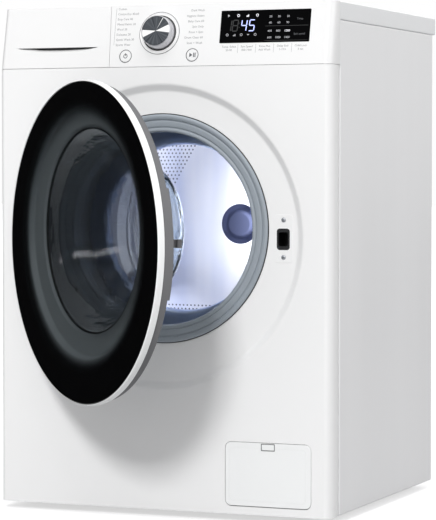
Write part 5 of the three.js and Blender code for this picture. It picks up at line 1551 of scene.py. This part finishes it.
@dataclass
class WashGroup:
    """The seal, the drum with its lifters, and the tub behind them."""

    drum: float = 244.0
    front: float = 112.0
    back: float = 372.0
    mouth: float = 140.0
    sheet: float = 1.2
    dish: float = 17.0
    hub: float = 40.0
    hub_cap: float = 36.0
    hub_proud: float = 6.0
    swage: float = 2.0
    lifter_height: float = 44.0
    lifter_base: float = 66.0
    lifter_angles: tuple[int, ...] = (-30, 90, 210)
    hole: float = 1.7
    pitch: float = 7.6
    row_share: float = 0.866
    chord: float = 148.0
    reach: float = 224.0
    fields: tuple[int, ...] = (30, 150, 270)
    shell_rings: int = 14
    shell_turns: int = 96
    shell_gap: float = 15.0
    seal_wall: float = 1.6
    seal_line: tuple[Point, ...] = (
        (188.6, 8.4), (188, 5.4), (184, 5), (180.4, 7), (179.4, 10.6), (178, 7.6), (172, 8.2), (168.6, 9),
        (167.6, 12.6), (166.4, 9.6), (162, 9.2), (160, 14), (166, 20), (176, 30), (165, 42), (177, 54),
        (184.8, 61), (184.8, 80))
    # The black ring of painted shadow outside the seal's bead.
    painted_shadow_ring: tuple[Point, ...] = ((188.9, 9), (188.9, 7.4), (190.3, 7.2), (190.3, 9))
    facets: int = 160
    seal_facets: int = 192

    def build(self) -> None:
        """Makes every piece of the wash group."""
        self.bellows()
        self.drum_front()
        self.drum_shell()
        self.drum_back()
        for index, angle in enumerate(self.lifter_angles):
            self.lifter(f"drum_lifter_{index + 1}", angle)
        self.perforations()
        dress(STOCK.tub, "tub_front", "tub_rear")
        dress(STOCK.concrete, "counterweight_upper", "counterweight_lower")
        dress(STOCK.zinc, "suspension_spring_left", "suspension_spring_right", "bearing_front",
              "bearing_rear")
        dress(STOCK.black, "damper_left", "damper_right", "rotor")
        dress(STOCK.cast, "drum_spider")
        dress(STOCK.copper, "stator")

    def bellows(self) -> None:
        """The seal: a bead on the front's lip, a grooved face and the folds behind it, with a black ring of
        painted shadow at its outer edge.
        """
        axis = (0, MACHINE.axis_z)
        seal = Form().turned(ribbon(eased(self.seal_line, 1.6, 5), self.seal_wall), axis, self.seal_facets)
        seal.piece("door_seal", STOCK.seal, "cabinet", ["door_bellows"])
        # A black ring between the bead and the front's lip: painted shadow.
        gap = Form().turned(self.painted_shadow_ring, axis, self.seal_facets)
        gap.piece("door_seal_painted_shadow_ring", STOCK.black, "cabinet")

    def rolled(self, line: Sequence[Point], radius: float, steps: int) -> Form:
        """Sheet turned about the drum's axis.

        Args:
            line: the middle of the sheet.
            radius: how far its corners are rounded.
            steps: points along each corner.

        Returns:
            The form.
        """
        return Form().turned(ribbon(eased(line, radius, steps), self.sheet), (0, MACHINE.axis_z), self.facets)

    def drum_front(self) -> None:
        """The drum's front ring, rolled round its mouth."""
        mouth, front = self.mouth, self.front
        line = [(self.drum - 0.6, front - 0.6), (self.drum - 18, front - 0.8), (mouth + 46, front - 1),
                (mouth + 23, front - 8), (mouth + 10, front - 16), (mouth + 2, front - 14),
                (mouth + 0.6, front - 5)]
        self.rolled(line, 7, 7).piece("drum_front_ring", STOCK.steel_front, "drum", ["drum_front"])

    def drum_shell(self) -> None:
        """The rolled shell with a swage round its middle."""
        middle = (self.front + self.back) / 2
        wall = self.drum - self.sheet / 2
        near, far = about(middle, 10)
        line = [(wall, self.front + MACHINE.fit), (wall, near), (wall + self.swage, middle), (wall, far),
                (wall, self.back - MACHINE.fit)]
        self.rolled(line, 6, 5).piece("drum_rolled_shell", STOCK.steel, "drum", ["drum_shell"])

    def rise(self, radius: float) -> float:
        """How far the drum's back stands forward of its edge.

        Args:
            radius: the distance from its middle.

        Returns:
            The rise, which is negative towards the front.
        """
        line = self.back_line()
        for (inner, near), (outer, far) in zip(line, line[1:]):
            if inner <= radius <= outer:
                return near + (far - near) * (radius - inner) / (outer - inner)
        return 0.0

    def back_line(self) -> list[Point]:
        """The drum's dished back.

        Returns:
            Points of its radius and rise, from the middle out.
        """
        corners = [(0, -self.dish), (self.hub + 4, -self.dish), (self.drum - 94, -15), (self.drum - 48, -8),
                   (self.drum - 14, -0.6), (self.drum, 0)]
        return eased(corners, 14, 7)

    def drum_back(self) -> None:
        """The dished back with a pressed ring and a bolted hub cap."""
        axis, y = (0, MACHINE.axis_z), self.back - self.dish
        line = [(radius, self.back + rise) for radius, rise in self.back_line()]
        skin = line + [(radius, depth + self.sheet) for radius, depth in line[::-1]]
        Form().turned(skin, axis, self.facets).piece("drum_dished_back", STOCK.steel, "drum", ["drum_back"])
        front, back, edge = y - self.hub_proud, y + 0.4, self.hub_cap
        cap = [(0, front), (24, front), (edge, y - 0.2), (edge, back), (0, back)]
        Form().turned(eased(cap, 5, 6), axis, 96).piece("drum_hub_cap", STOCK.hub, "drum")

    def lifter(self, name: str, angle: int) -> None:
        """One lifter: a crowned fin that tapers at both ends.

        Args:
            name: the model's node.
            angle: degrees anticlockwise from the right.
        """
        near, far = self.front + 20, self.back - 14
        wall = self.drum - self.sheet
        top, half = wall - self.lifter_height, self.lifter_base / 2
        section = [(-half, -wall - 1), (-half * 0.5, -wall + 13), (-9, -top - 4), (0, -top + 1.6),
                   (9, -top - 4), (half * 0.5, -wall + 13), (half, -wall - 1)]
        side = [(near, -wall - 2), (near + 4, -top - 12), (near + 40, -top + 2), (far - 36, -top + 2),
                (far - 3, -top - 12), (far, -wall - 2)]
        fin = Form().slab(eased(section, 12, 6), (near, far))
        fin.combine(Form().sideways(eased(side, 22, 8), (-half - 4, half + 4)), Cut.KEEP)
        bore = Form().tube((0, wall - MACHINE.fit), widened((near, far), 2), steps=self.facets)
        fin.combine(bore, Cut.KEEP)
        turn = Matrix.Rotation(math.radians(-(angle + 90)), 4, "Y")
        fin.piece(f"{name}_fin", STOCK.lifter, "drum", [name],
                  Matrix.Translation((0, 0, MACHINE.axis_z)) @ turn, crease=45)

    def perforations(self) -> None:
        """Small punched holes, drawn as dark discs on the steel that are painted shade: three fields on the
        back, and rows round the shell.
        """
        back, shell = bmesh.new(), bmesh.new()
        gap = self.pitch * self.row_share
        steps = math.ceil(self.reach / self.pitch)
        for middle in self.fields:
            field = Matrix.Rotation(math.radians(-middle), 4, "Y")
            for row in range(round(self.reach / gap) + 1):
                out = self.chord + row * gap
                for step in range(-steps, steps + 1):
                    along = (step + 0.5 * (row % 2)) * self.pitch
                    if math.hypot(out, along) < self.reach:
                        self.punch(back, self.on_back(field @ Vector((out, 0, along))))
        for ring in range(self.shell_rings):
            depth = self.front + 28 + self.shell_gap * ring
            for step in range(self.shell_turns):
                turn = Matrix.Rotation(FULL_TURN * (step + 0.5 * (ring % 2)) / self.shell_turns, 4, "Y")
                lie = Matrix.Rotation(-math.pi / 2, 4, "Y")
                self.punch(shell, turn @ Matrix.Translation((self.drum - 1.5, depth, 0)) @ lie)
        holes = Form().take(back).take(shell)
        holes.piece("hole_painted_shade_discs", STOCK.hole, "drum", place=Matrix.Translation((0, 0, MACHINE.axis_z)))

    def punch(self, bm: Part, place: Matrix) -> None:
        """Adds one hole as a flat dark disc: painted shade."""
        bmesh.ops.create_circle(bm, cap_ends=True, segments=8, radius=self.hole, matrix=place)

    def on_back(self, spot: Vector) -> Matrix:
        """Lies a hole on the slope of the drum's back.

        Args:
            spot: its place, from the drum's middle.

        Returns:
            The hole's matrix, just in front of the steel.
        """
        radius = math.hypot(spot.x, spot.z)
        slope = math.atan2(self.rise(radius + 2) - self.rise(radius - 2), 4)
        turn = Matrix.Rotation(-math.atan2(spot.z, spot.x), 4, "Y") @ Matrix.Rotation(slope, 4, "Z")
        place = Matrix.Translation((spot.x, self.back + self.rise(radius) - 0.25, spot.z)) @ turn
        return place @ Matrix.Rotation(math.pi / 2, 4, "X")


# ---------------------------------------------------------------- door


@dataclass
class Door:
    """The round door: a glass in a white rim, a grey frame behind it, the clear bowl and the latch."""

    centre_z: float = 460.3
    glass: float = 257.8
    glass_front: float = -28.4
    glass_thick: float = 4.0
    crown: float = 1.4
    rim_wall: float = 2.35
    rim_proud: float = 0.4
    rim_corner: float = 2.0
    lip_back: float = -17.8
    rim_back: float = -15.9
    frame_radius: float = 254.5
    frame_shift: float = 4.5
    frame_back: float = -4.9
    frame_sheet: float = 2.5
    ledge: float = 14.0
    grip_gap: float = 1.2
    grip_half: float = 85.0
    band: float = 23.0
    bowl: float = 174.0
    bowl_wall: float = 4.5
    bowl_outside: tuple[Point, ...] = ((157, 8), (149, 26), (106, 97), (92, 112.5), (0, 117))
    bowl_inside: tuple[Point, ...] = ((0, 112.5), (89, 108), (101.5, 95), (144.5, 25.5), (153.5, 4))
    flange: float = 184.0
    liner_seat: float = 9.4
    liner_radii: Span = (201.0, 230.0)
    hinge: Place = (-250.0, -15.5, 470.0)
    hinge_half: float = 50.0
    hook_size: Point = (7.0, 13.0)
    hook_reach: float = 37.0
    open_degrees: float = 37.5
    facets: int = 224
    bowl_facets: int = 192
    frame_facets: int = 160

    @classmethod
    def swing(cls) -> Matrix:
        """Swings a shut door's piece open about the hinge.

        Returns:
            The matrix.
        """
        x, y, _ = cls.hinge
        turn = Matrix.Rotation(math.radians(-cls.open_degrees), 4, "Z")
        return Matrix.Translation((x, y, 0)) @ turn @ Matrix.Translation((-x, -y, 0))

    def build(self) -> None:
        """Makes every piece of the door."""
        self.rim()
        self.pane()
        self.liner()
        self.inner_frame()
        self.bowl_glass()
        self.hook()
        dress(STOCK.zinc, "door_hinge_leaf", "door_hinge_bracket", "door_hinge_pin")

    def pocket(self) -> Form:
        """The room that the hinge needs."""
        x, y, z = self.hinge
        return Form().block((x - 24, x + 44), (y - 6.3, 20), about(z, self.hinge_half + 2), 3)

    def rim(self) -> None:
        """The white rim, open behind the hinge."""
        bore, outer, corner = self.glass + MACHINE.fit, self.glass + self.rim_wall, self.rim_corner
        front, back = self.glass_front - self.rim_proud, self.lip_back - 0.2
        line = [(bore, back), (bore, front), (outer - corner, front), (outer, front + corner), (outer, back)]
        rim = Form().turned(eased(line, 1.0, 5), (0, self.centre_z), self.facets).minus(self.pocket())
        rim.piece("door_outer_rim", STOCK.rim, "door", ["door_rim"], self.swing())

    def pane(self) -> None:
        """The slightly crowned outer glass."""
        edge, front, back = self.glass, self.glass_front, self.glass_front + self.glass_thick
        line = [(0, front - self.crown), (edge * 0.5, front - 1.1), (edge * 0.82, front - 0.5),
                (edge - 1.2, front), (edge, front + 1.2), (edge, back), (0, back)]
        smooth = eased(line[:4], 40, 8)[:-1] + eased(line[3:], 0.8, 4)
        Form().turned(smooth, (0, self.centre_z), self.facets).piece(
            "door_outer_glass", STOCK.glass, "door", ["door_glass"], self.swing(), crease=20)

    def liner(self) -> None:
        """The smooth grey ring that shows through the glass round the bowl, and the bowl's black trim."""
        near, front = self.bowl - self.liner_seat, self.glass_front + self.glass_thick
        deep = self.frame_back - self.frame_sheet - 5.2
        bend, far = self.liner_radii
        line = [(near, deep + 5), (near + 4.8, deep), (bend, deep), (bend + 5, front + 1.8),
                (far, front + 0.8)]
        back = [(far, front + 1.8), (bend + 5.5, front + 2.8), (bend + 1, deep + 1), (near + 5.4, deep + 1),
                (near + 0.8, deep + 5.6)]
        inner, outer = near - 2, near + 0.6
        trim = [(inner, deep + 7), (inner, deep + 4.2), (outer, deep + 3.4), (outer, deep + 7)]
        for name, finish, shape in (("door_glass_liner", STOCK.liner, eased(line, 2, 5) + back),
                                    ("bowl_trim_ring", STOCK.black, eased(trim, 0.8, 4))):
            ring = Form().turned(shape, (0, MACHINE.axis_z), self.bowl_facets)
            ring.piece(name, finish, "door", place=self.swing())

    def grip(self) -> Form:
        """The thick part of the frame that the hand takes, beside the lock.

        Returns:
            The form.
        """
        outer = self.frame_radius + self.frame_shift
        inner, front, back = outer - self.band, self.frame_back - 1, -self.grip_gap
        line = eased([(inner, front), (outer, front), (outer, back), (inner, back)], 1.6, 5)
        keep = Form().block((0, 400), (-20, 5), about(MACHINE.lock[1], self.grip_half), 4)
        return Form().turned(line, (0, self.centre_z), self.facets).combine(keep, Cut.KEEP)

    def inner_frame(self) -> None:
        """The grey frame: a flat ring round the bowl, thicker where the hand goes in."""
        radius, back, sheet = self.frame_radius, self.frame_back, self.frame_sheet
        plate, step = back - sheet, self.lip_back + MACHINE.fit
        ledge, outer = self.glass - self.ledge, self.glass + self.rim_wall - 0.7
        line = [(ledge - 8, step), (radius, step), (radius, back), (0, back)]
        behind = [(0, plate), (radius - sheet, plate), (radius - sheet, step + 2), (ledge - 8, step + 2)]
        shell = Form().turned(eased(line, 1.2, 5) + behind, (self.frame_shift, self.centre_z), self.facets)
        seat = eased([(ledge, step), (outer, step), (outer, self.rim_back), (ledge, self.rim_back)], 0.6, 4)
        shell.plus(Form().turned(seat, (0, self.centre_z), self.facets))
        (x, z), (width, height) = MACHINE.lock, self.hook_size
        axis = (0, MACHINE.axis_z)
        housing = Form().block((x - 9, x + 12), (-17, back - 1), about(z, 12))
        radii = (self.flange + 0.6, self.flange + 3)
        collar = Form().tube(radii, (-11.2, plate + 0.5), axis, self.frame_facets)
        shell.plus(self.grip(), housing, collar)
        shell.minus(
            Form().tube((0, self.bowl + MACHINE.fit), (-40, 8), axis, self.frame_facets),
            self.pocket(),
            Form().block(about(x, width / 2 + 4.5), (-15, 3), about(z, height / 2 + MACHINE.fit)),
        )
        shell.piece("door_inner_frame", STOCK.grey, "door", ["door_frame"], self.swing(), bevel=0.4)

    def bowl_glass(self) -> None:
        """The clear bowl: a flange held by the frame, a cone and a nearly flat floor."""
        back = self.frame_back - self.frame_sheet - MACHINE.fit
        wall = self.bowl_wall
        flange = [(self.bowl - wall, back - wall), (self.flange, back - wall), (self.flange, back),
                  (self.bowl, back)]
        line = [*flange, *self.bowl_outside, *self.bowl_inside]
        shape = eased(line[:7], 6, 6)[:-1] + eased(line[6:9], 12, 8)[:-1] + eased(line[8:], 6, 6)
        start = max(index for index, (radius, _) in enumerate(shape) if radius == 0)
        from_axis = shape[start:] + shape[:start]
        Form().turned(from_axis, (0, MACHINE.axis_z), self.bowl_facets).piece(
            "door_glass_bowl", STOCK.bowl, "door", ["door_bowl"], self.swing(), crease=60)

    def hook(self) -> None:
        """The latch's hook."""
        x, z = MACHINE.lock
        tip, (left, right) = self.hook_reach, about(x, self.hook_size[0] / 2)
        outline = [(left, -14), (right, -14), (right, tip - 16), (right - 2.6, tip - 16),
                   (right - 2.6, tip - 11), (right + 1.5, tip - 11), (right, tip - 2), (left, tip - 1),
                   (left, -14)]
        Form().upright(eased(outline, 0.8, 4)[:-1], about(z, self.hook_size[1] / 2)).piece(
            "latch_hook_moulding", STOCK.grey, "latch", ["latch_hook"], self.swing(), bevel=0.5)


@dataclass
class LockPlate:
    """The lock in the front: a faintly raised plate, a dark mouth and its two screws."""

    plate_x: Span = (199.0, 232.0)
    plate_z: Span = (426.0, 504.0)
    screw_zs: Span = (434.6, 495.4)
    proud: float = 0.45
    lip: float = 0.9
    depth: float = 24.0

    def build(self) -> None:
        """Makes every piece of the lock."""
        face = MACHINE.dish_depth
        plate = Form().plate(self.plate_x, self.plate_z, (face - self.proud, face + 0.3), 6, 0.3)
        plate.minus(Form().plate(*MACHINE.lock_mouth(), about(face, 5), 5))
        plate.piece("lock_plate", STOCK.paint, "cabinet")
        through = face + self.depth + 2
        bezel = Form().plate(*MACHINE.lock_mouth(0.05, 0.05), (face - self.lip, face + self.depth), 5, 0.5)
        bezel.minus(Form().plate(*MACHINE.lock_mouth(3, 6), (face - 6, through), 3),
                    Form().plate(*MACHINE.lock_mouth(0.7, 3), (face + 4, through), 3))
        bezel.piece("lock_mouth", STOCK.black, "cabinet")
        dress(STOCK.black, "door_lock")
        screws = Form()
        for z in self.screw_zs:
            screws.screw(sum(self.plate_x) / 2 + 0.5, z, face - self.proud, Facing.FRONT)
        screws.piece("lock_screws", STOCK.zinc, "cabinet")


# ---------------------------------------------------------------- service flap and water parts


@dataclass
class Service:
    """The pump filter's flap at the foot of the front, the filter, and the water fittings behind."""

    gap: float = 0.8
    thick: float = 2.5
    inset: float = 8.0
    groove: float = 0.9
    catch_half: float = 11.6
    catch_drop: Span = (12.4, 1.4)
    pump: Point = (200.0, 80.0)
    rear: float = 537.4
    valve: Point = (-190.0, 772.0)
    drain: Point = (205.0, 735.0)
    mains: Point = (150.0, 782.0)
    spigot_end: float = 552.0

    def build(self) -> None:
        """Makes every piece of the service side."""
        self.flap()
        self.filter()
        self.valve_fitting()
        self.spigot()
        dress(STOCK.black, "drain_pump")
        dress(STOCK.hose, "sump_hose", "inlet_hose")

    def flap(self) -> None:
        """The flap: a faintly raised field, and a finger catch whose slot is lined in grey as painted shadow.
        """
        cabinet = Cabinet()
        foot, head = cabinet.flap_z
        xs, zs = widened(cabinet.flap_x, -self.gap * 0.8), (foot + self.gap + 0.4, head - self.gap)
        catch_x = about(sum(xs) / 2, self.catch_half)
        catch_z = (zs[1] - self.catch_drop[0], zs[1] - self.catch_drop[1])
        flap = Form().plate(xs, zs, (0, self.thick), cabinet.flap_corner - 1, 0.7)
        flap.minus(Form().plate(widened(catch_x, 0.6), widened(catch_z, 0.6), (-2, 1.8), 1.5))
        edge = -self.inset
        field = edge - self.groove
        groove = Form().plate(widened(xs, edge), widened(zs, edge), (-2, 0.5), 6)
        groove.minus(Form().plate(widened(xs, field), widened(zs, field), (-3, 2), 5.4),
                     Form().block(widened(catch_x, 2), (-4, 4), (catch_z[0] - 2, zs[1])))
        flap.minus(groove)
        for lug in ((xs[0], xs[0] + 8), (xs[1] - 8, xs[1])):
            flap.block(lug, (self.thick - 0.5, 6.5), (foot + 9, foot + 20), 0.5)
        flap.piece("filter_flap_moulding", STOCK.rim, "flap", ["filter_flap"], bevel=0.3)
        # A grey liner in the catch's slot: painted shadow.
        liner = Form().plate(widened(catch_x, 0.55), widened(catch_z, 0.55), (0.15, 1.75), 1.4)
        liner.piece("flap_catch_shadow", STOCK.smoke, "flap")
        tongue = Form().plate(widened(catch_x, -0.9), widened(catch_z, -0.9), (-0.1, 1.2), 1, 0.4)
        tongue.piece("flap_catch", STOCK.rim, "flap")

    def filter(self) -> None:
        """The screw-in filter's winged cap."""
        cap = eased([(0, 19), (35, 19), (36, 20.5), (36, 25.7), (32, 25.7), (32, 99), (0, 99)], 1.2, 4)
        form = Form().turned(cap, self.pump, 96)
        x, z = self.pump
        form.plate(about(x, 26), about(z, 4), (8, 19.5), 3.5, 1.2)
        form.piece("filter_cap", STOCK.tub, "filter", ["pump_filter"])

    def valve_fitting(self) -> None:
        """The inlet valve: a threaded spigot, its body and its solenoid."""
        inside, end = self.rear, self.spigot_end
        thread = [(12.4 + 0.6 * (step % 2), inside + 2 + 0.9 * step) for step in range(14)]
        inlet = [(9, inside - 20), (17, inside - 20), (17, inside - 3), (21, inside - 3), (21, inside),
                 (13, inside), *thread, (12.6, end), (9, end)]
        valve = Form().turned(inlet, self.valve, 48)
        x, z = self.valve
        valve.block(about(x, 22), (inside - 56, inside - 16), (z - 18, z + 20), 2)
        valve.tube((0, 6), (inside - 76, inside - 54), self.valve, 32)
        stand = Matrix.Translation((x + 2, inside - 36, z + 18)) @ Matrix.Rotation(math.pi / 2, 4, "X")
        valve.turned(eased([(0, 0), (14, 0), (14, 22), (0, 22)], 2), steps=48, place=stand)
        valve.piece("inlet_valve_fitting", STOCK.rim, "cabinet", ["inlet_valve"])

    def spigot(self) -> None:
        """The barbed drain spigot and the bush for the lead."""
        inside, end = self.rear, self.spigot_end
        barbs = [(11, end - 7.5), (9.8, end - 4.2), (10.8, end - 4), (9.4, end - 1)]
        spigot = [(7, inside - 22), (11, inside - 22), (13, inside - 4), (18, inside - 4), (18, inside),
                  (13, inside), (13, inside + 4), *barbs, (9, end), (7, end)]
        Form().turned(spigot, self.drain, 48).piece("drain_spigot", STOCK.grey, "cabinet", ["drain_outlet"])
        bush = [(4, inside - 12), (8, inside - 12), (8, inside - 2), (11, inside - 2), (11, inside),
                (8, inside), (8, inside + 1.6), (11.5, inside + 1.6), (10, inside + 8.3), (4, inside + 8.3)]
        lead = Form().turned(eased(bush, 0.6, 3), self.mains, 48)
        lead.piece("lead_bush", STOCK.hose, "cabinet", ["mains_gland"])


# ---------------------------------------------------------------- studio and camera


@dataclass
class Studio:
    """A plain pale floor, soft light and a white surround."""

    surround: float = 0.46
    key: tuple[Place, float, float] = ((0.82, -5.6, 3.58), 1.05, 219.0)
    fill: tuple[Place, float, float] = ((3.0, 0.5, 1.7), 1.6, 20.0)
    top: tuple[Place, float, float] = ((0.3, -1.3, 3.6), 2.2, 28.0)
    back: tuple[Place, float, float] = ((-0.6, 3.4, 2.4), 1.8, 30.0)
    drum_energy: float = 1.15
    drum_depth: float = 102.0
    floor_size: float = 30.0
    floor_fade: Span = (0.5, 1.5)
    floor_lift: Span = (0.62, 1.0)

    def build(self) -> None:
        """Sets up the light and the floor."""
        bpy.context.scene.view_settings.view_transform = "Standard"
        self.world()
        self.floor()
        for name, (spot, size, energy) in (("key", self.key), ("fill", self.fill), ("top", self.top),
                                           ("back", self.back)):
            self.lamp(f"{name}_light", spot, size, energy)
        mouth, middle = (MACHINE.front + self.drum_depth) / 1000, MACHINE.axis_z / 1000
        inside = (0.06, mouth + 0.3, middle + 0.03)
        self.lamp("drum_light", (0.03, mouth, middle + 0.02), 0.2, self.drum_energy, inside)
        self.flag("dark_flag_left", (-1.25, -0.2, 0.7), 2.6)

    def world(self) -> None:
        """White where it is seen, mirrored or seen through glass; a plain grey light elsewhere."""
        world = bpy.data.worlds.new("studio_surround")
        world.use_nodes = True
        tree = world.node_tree
        back = tree.nodes["Background"]
        back.inputs["Color"].default_value = (1, 1, 1, 1)
        rays = tree.nodes.new("ShaderNodeLightPath").outputs
        white = rays["Is Camera Ray"]
        for ray in ("Is Glossy Ray", "Is Transmission Ray"):
            either = tree.nodes.new("ShaderNodeMath")
            either.operation = "MAXIMUM"
            tree.links.new(white, either.inputs[0])
            tree.links.new(rays[ray], either.inputs[1])
            white = either.outputs[0]
        level = tree.nodes.new("ShaderNodeMapRange")
        level.inputs["To Min"].default_value = self.surround
        tree.links.new(white, level.inputs["Value"])
        tree.links.new(level.outputs[0], back.inputs["Strength"])
        bpy.context.scene.world = world

    def floor(self) -> None:
        """The floor: pale, lifted to white for the eye, and still shaded under the machine."""
        bm = bmesh.new()
        bmesh.ops.create_grid(bm, x_segments=2, y_segments=2, size=self.floor_size)
        mesh = poured(bm, "studio_floor")
        floor = placed("studio_floor", mesh)
        graph = Graph("pale_floor")
        eye = graph.add("LightPath").outputs["Is Camera Ray"]
        away = graph.measure("LENGTH", graph.where())
        lift = graph.ranged(away, self.floor_fade, self.floor_lift)
        graph.feed(graph.shader, {
            "Base Color": linear(196, 196, 197),
            "Roughness": 0.9,
            "Specular IOR Level": 0.1,
            "Emission Color": (1, 1, 1, 1),
            "Emission Strength": graph.math("MULTIPLY", eye, lift),
        })
        mesh.materials.append(graph.material)

    def lamp(self, name: str, spot: Place, size: float, energy: float, target: Place = (0, 0, 0.45)) -> None:
        """Hangs an area light.

        Args:
            name: its name.
            spot: where it hangs, in metres.
            size: the side of its square.
            energy: its power in watts.
            target: what it faces; the machine's middle unless another point is given.
        """
        light = bpy.data.lights.new(name, "AREA")
        light.size = size
        light.energy = energy
        holder = placed(name, light)
        holder.location = spot
        holder.rotation_euler = (Vector(target) - Vector(spot)).to_track_quat("-Z", "Y").to_euler()

    def flag(self, name: str, spot: Place, size: float) -> None:
        """Stands a dark board beside the machine that only mirrors see.

        Args:
            name: its name.
            spot: its middle, in metres.
            size: the side of its square.
        """
        bm = bmesh.new()
        place = Matrix.Translation(spot) @ Matrix.Rotation(math.pi / 2, 4, "Y")
        bmesh.ops.create_grid(bm, x_segments=1, y_segments=1, size=size / 2, matrix=place)
        mesh = poured(bm, name)
        board = placed(name, mesh)
        graph = Graph(name)
        graph.feed(graph.shader, {"Base Color": (0.002, 0.002, 0.002, 1), "Roughness": 1.0})
        mesh.materials.append(graph.material)
        for ray in ("camera", "diffuse", "transmission", "shadow", "volume_scatter"):
            setattr(board, f"visible_{ray}", False)


@dataclass
class Viewpoint:
    """The camera: from the right of the front, a little above the middle."""

    lens: float = 167.36
    spot: Place = (1.62105, -3.6553, 0.58129)
    pitch: float = -2.203
    turn: float = 22.541

    def build(self) -> None:
        """Makes the camera and puts it in charge."""
        camera = bpy.data.cameras.new("studio_camera")
        camera.lens = self.lens
        holder = placed("studio_camera", camera)
        x, y, z = self.spot
        holder.location = (x, y + MACHINE.front / 1000, z)
        holder.rotation_euler = (math.radians(90 + self.pitch), 0, math.radians(self.turn))
        bpy.context.scene.camera = holder


def main() -> None:
    """Builds the machine, piece by piece."""
    logging.basicConfig(level=logging.INFO, format="%(name)s: %(message)s")
    Viewpoint().build()
    for assembly in (Cabinet(), Controls(), Drawer(), WashGroup(), Door(), LockPlate(), Service(), Studio()):
        log.info("building the %s", type(assembly).__name__)
        assembly.build()


if __name__ == "__main__":
    main()
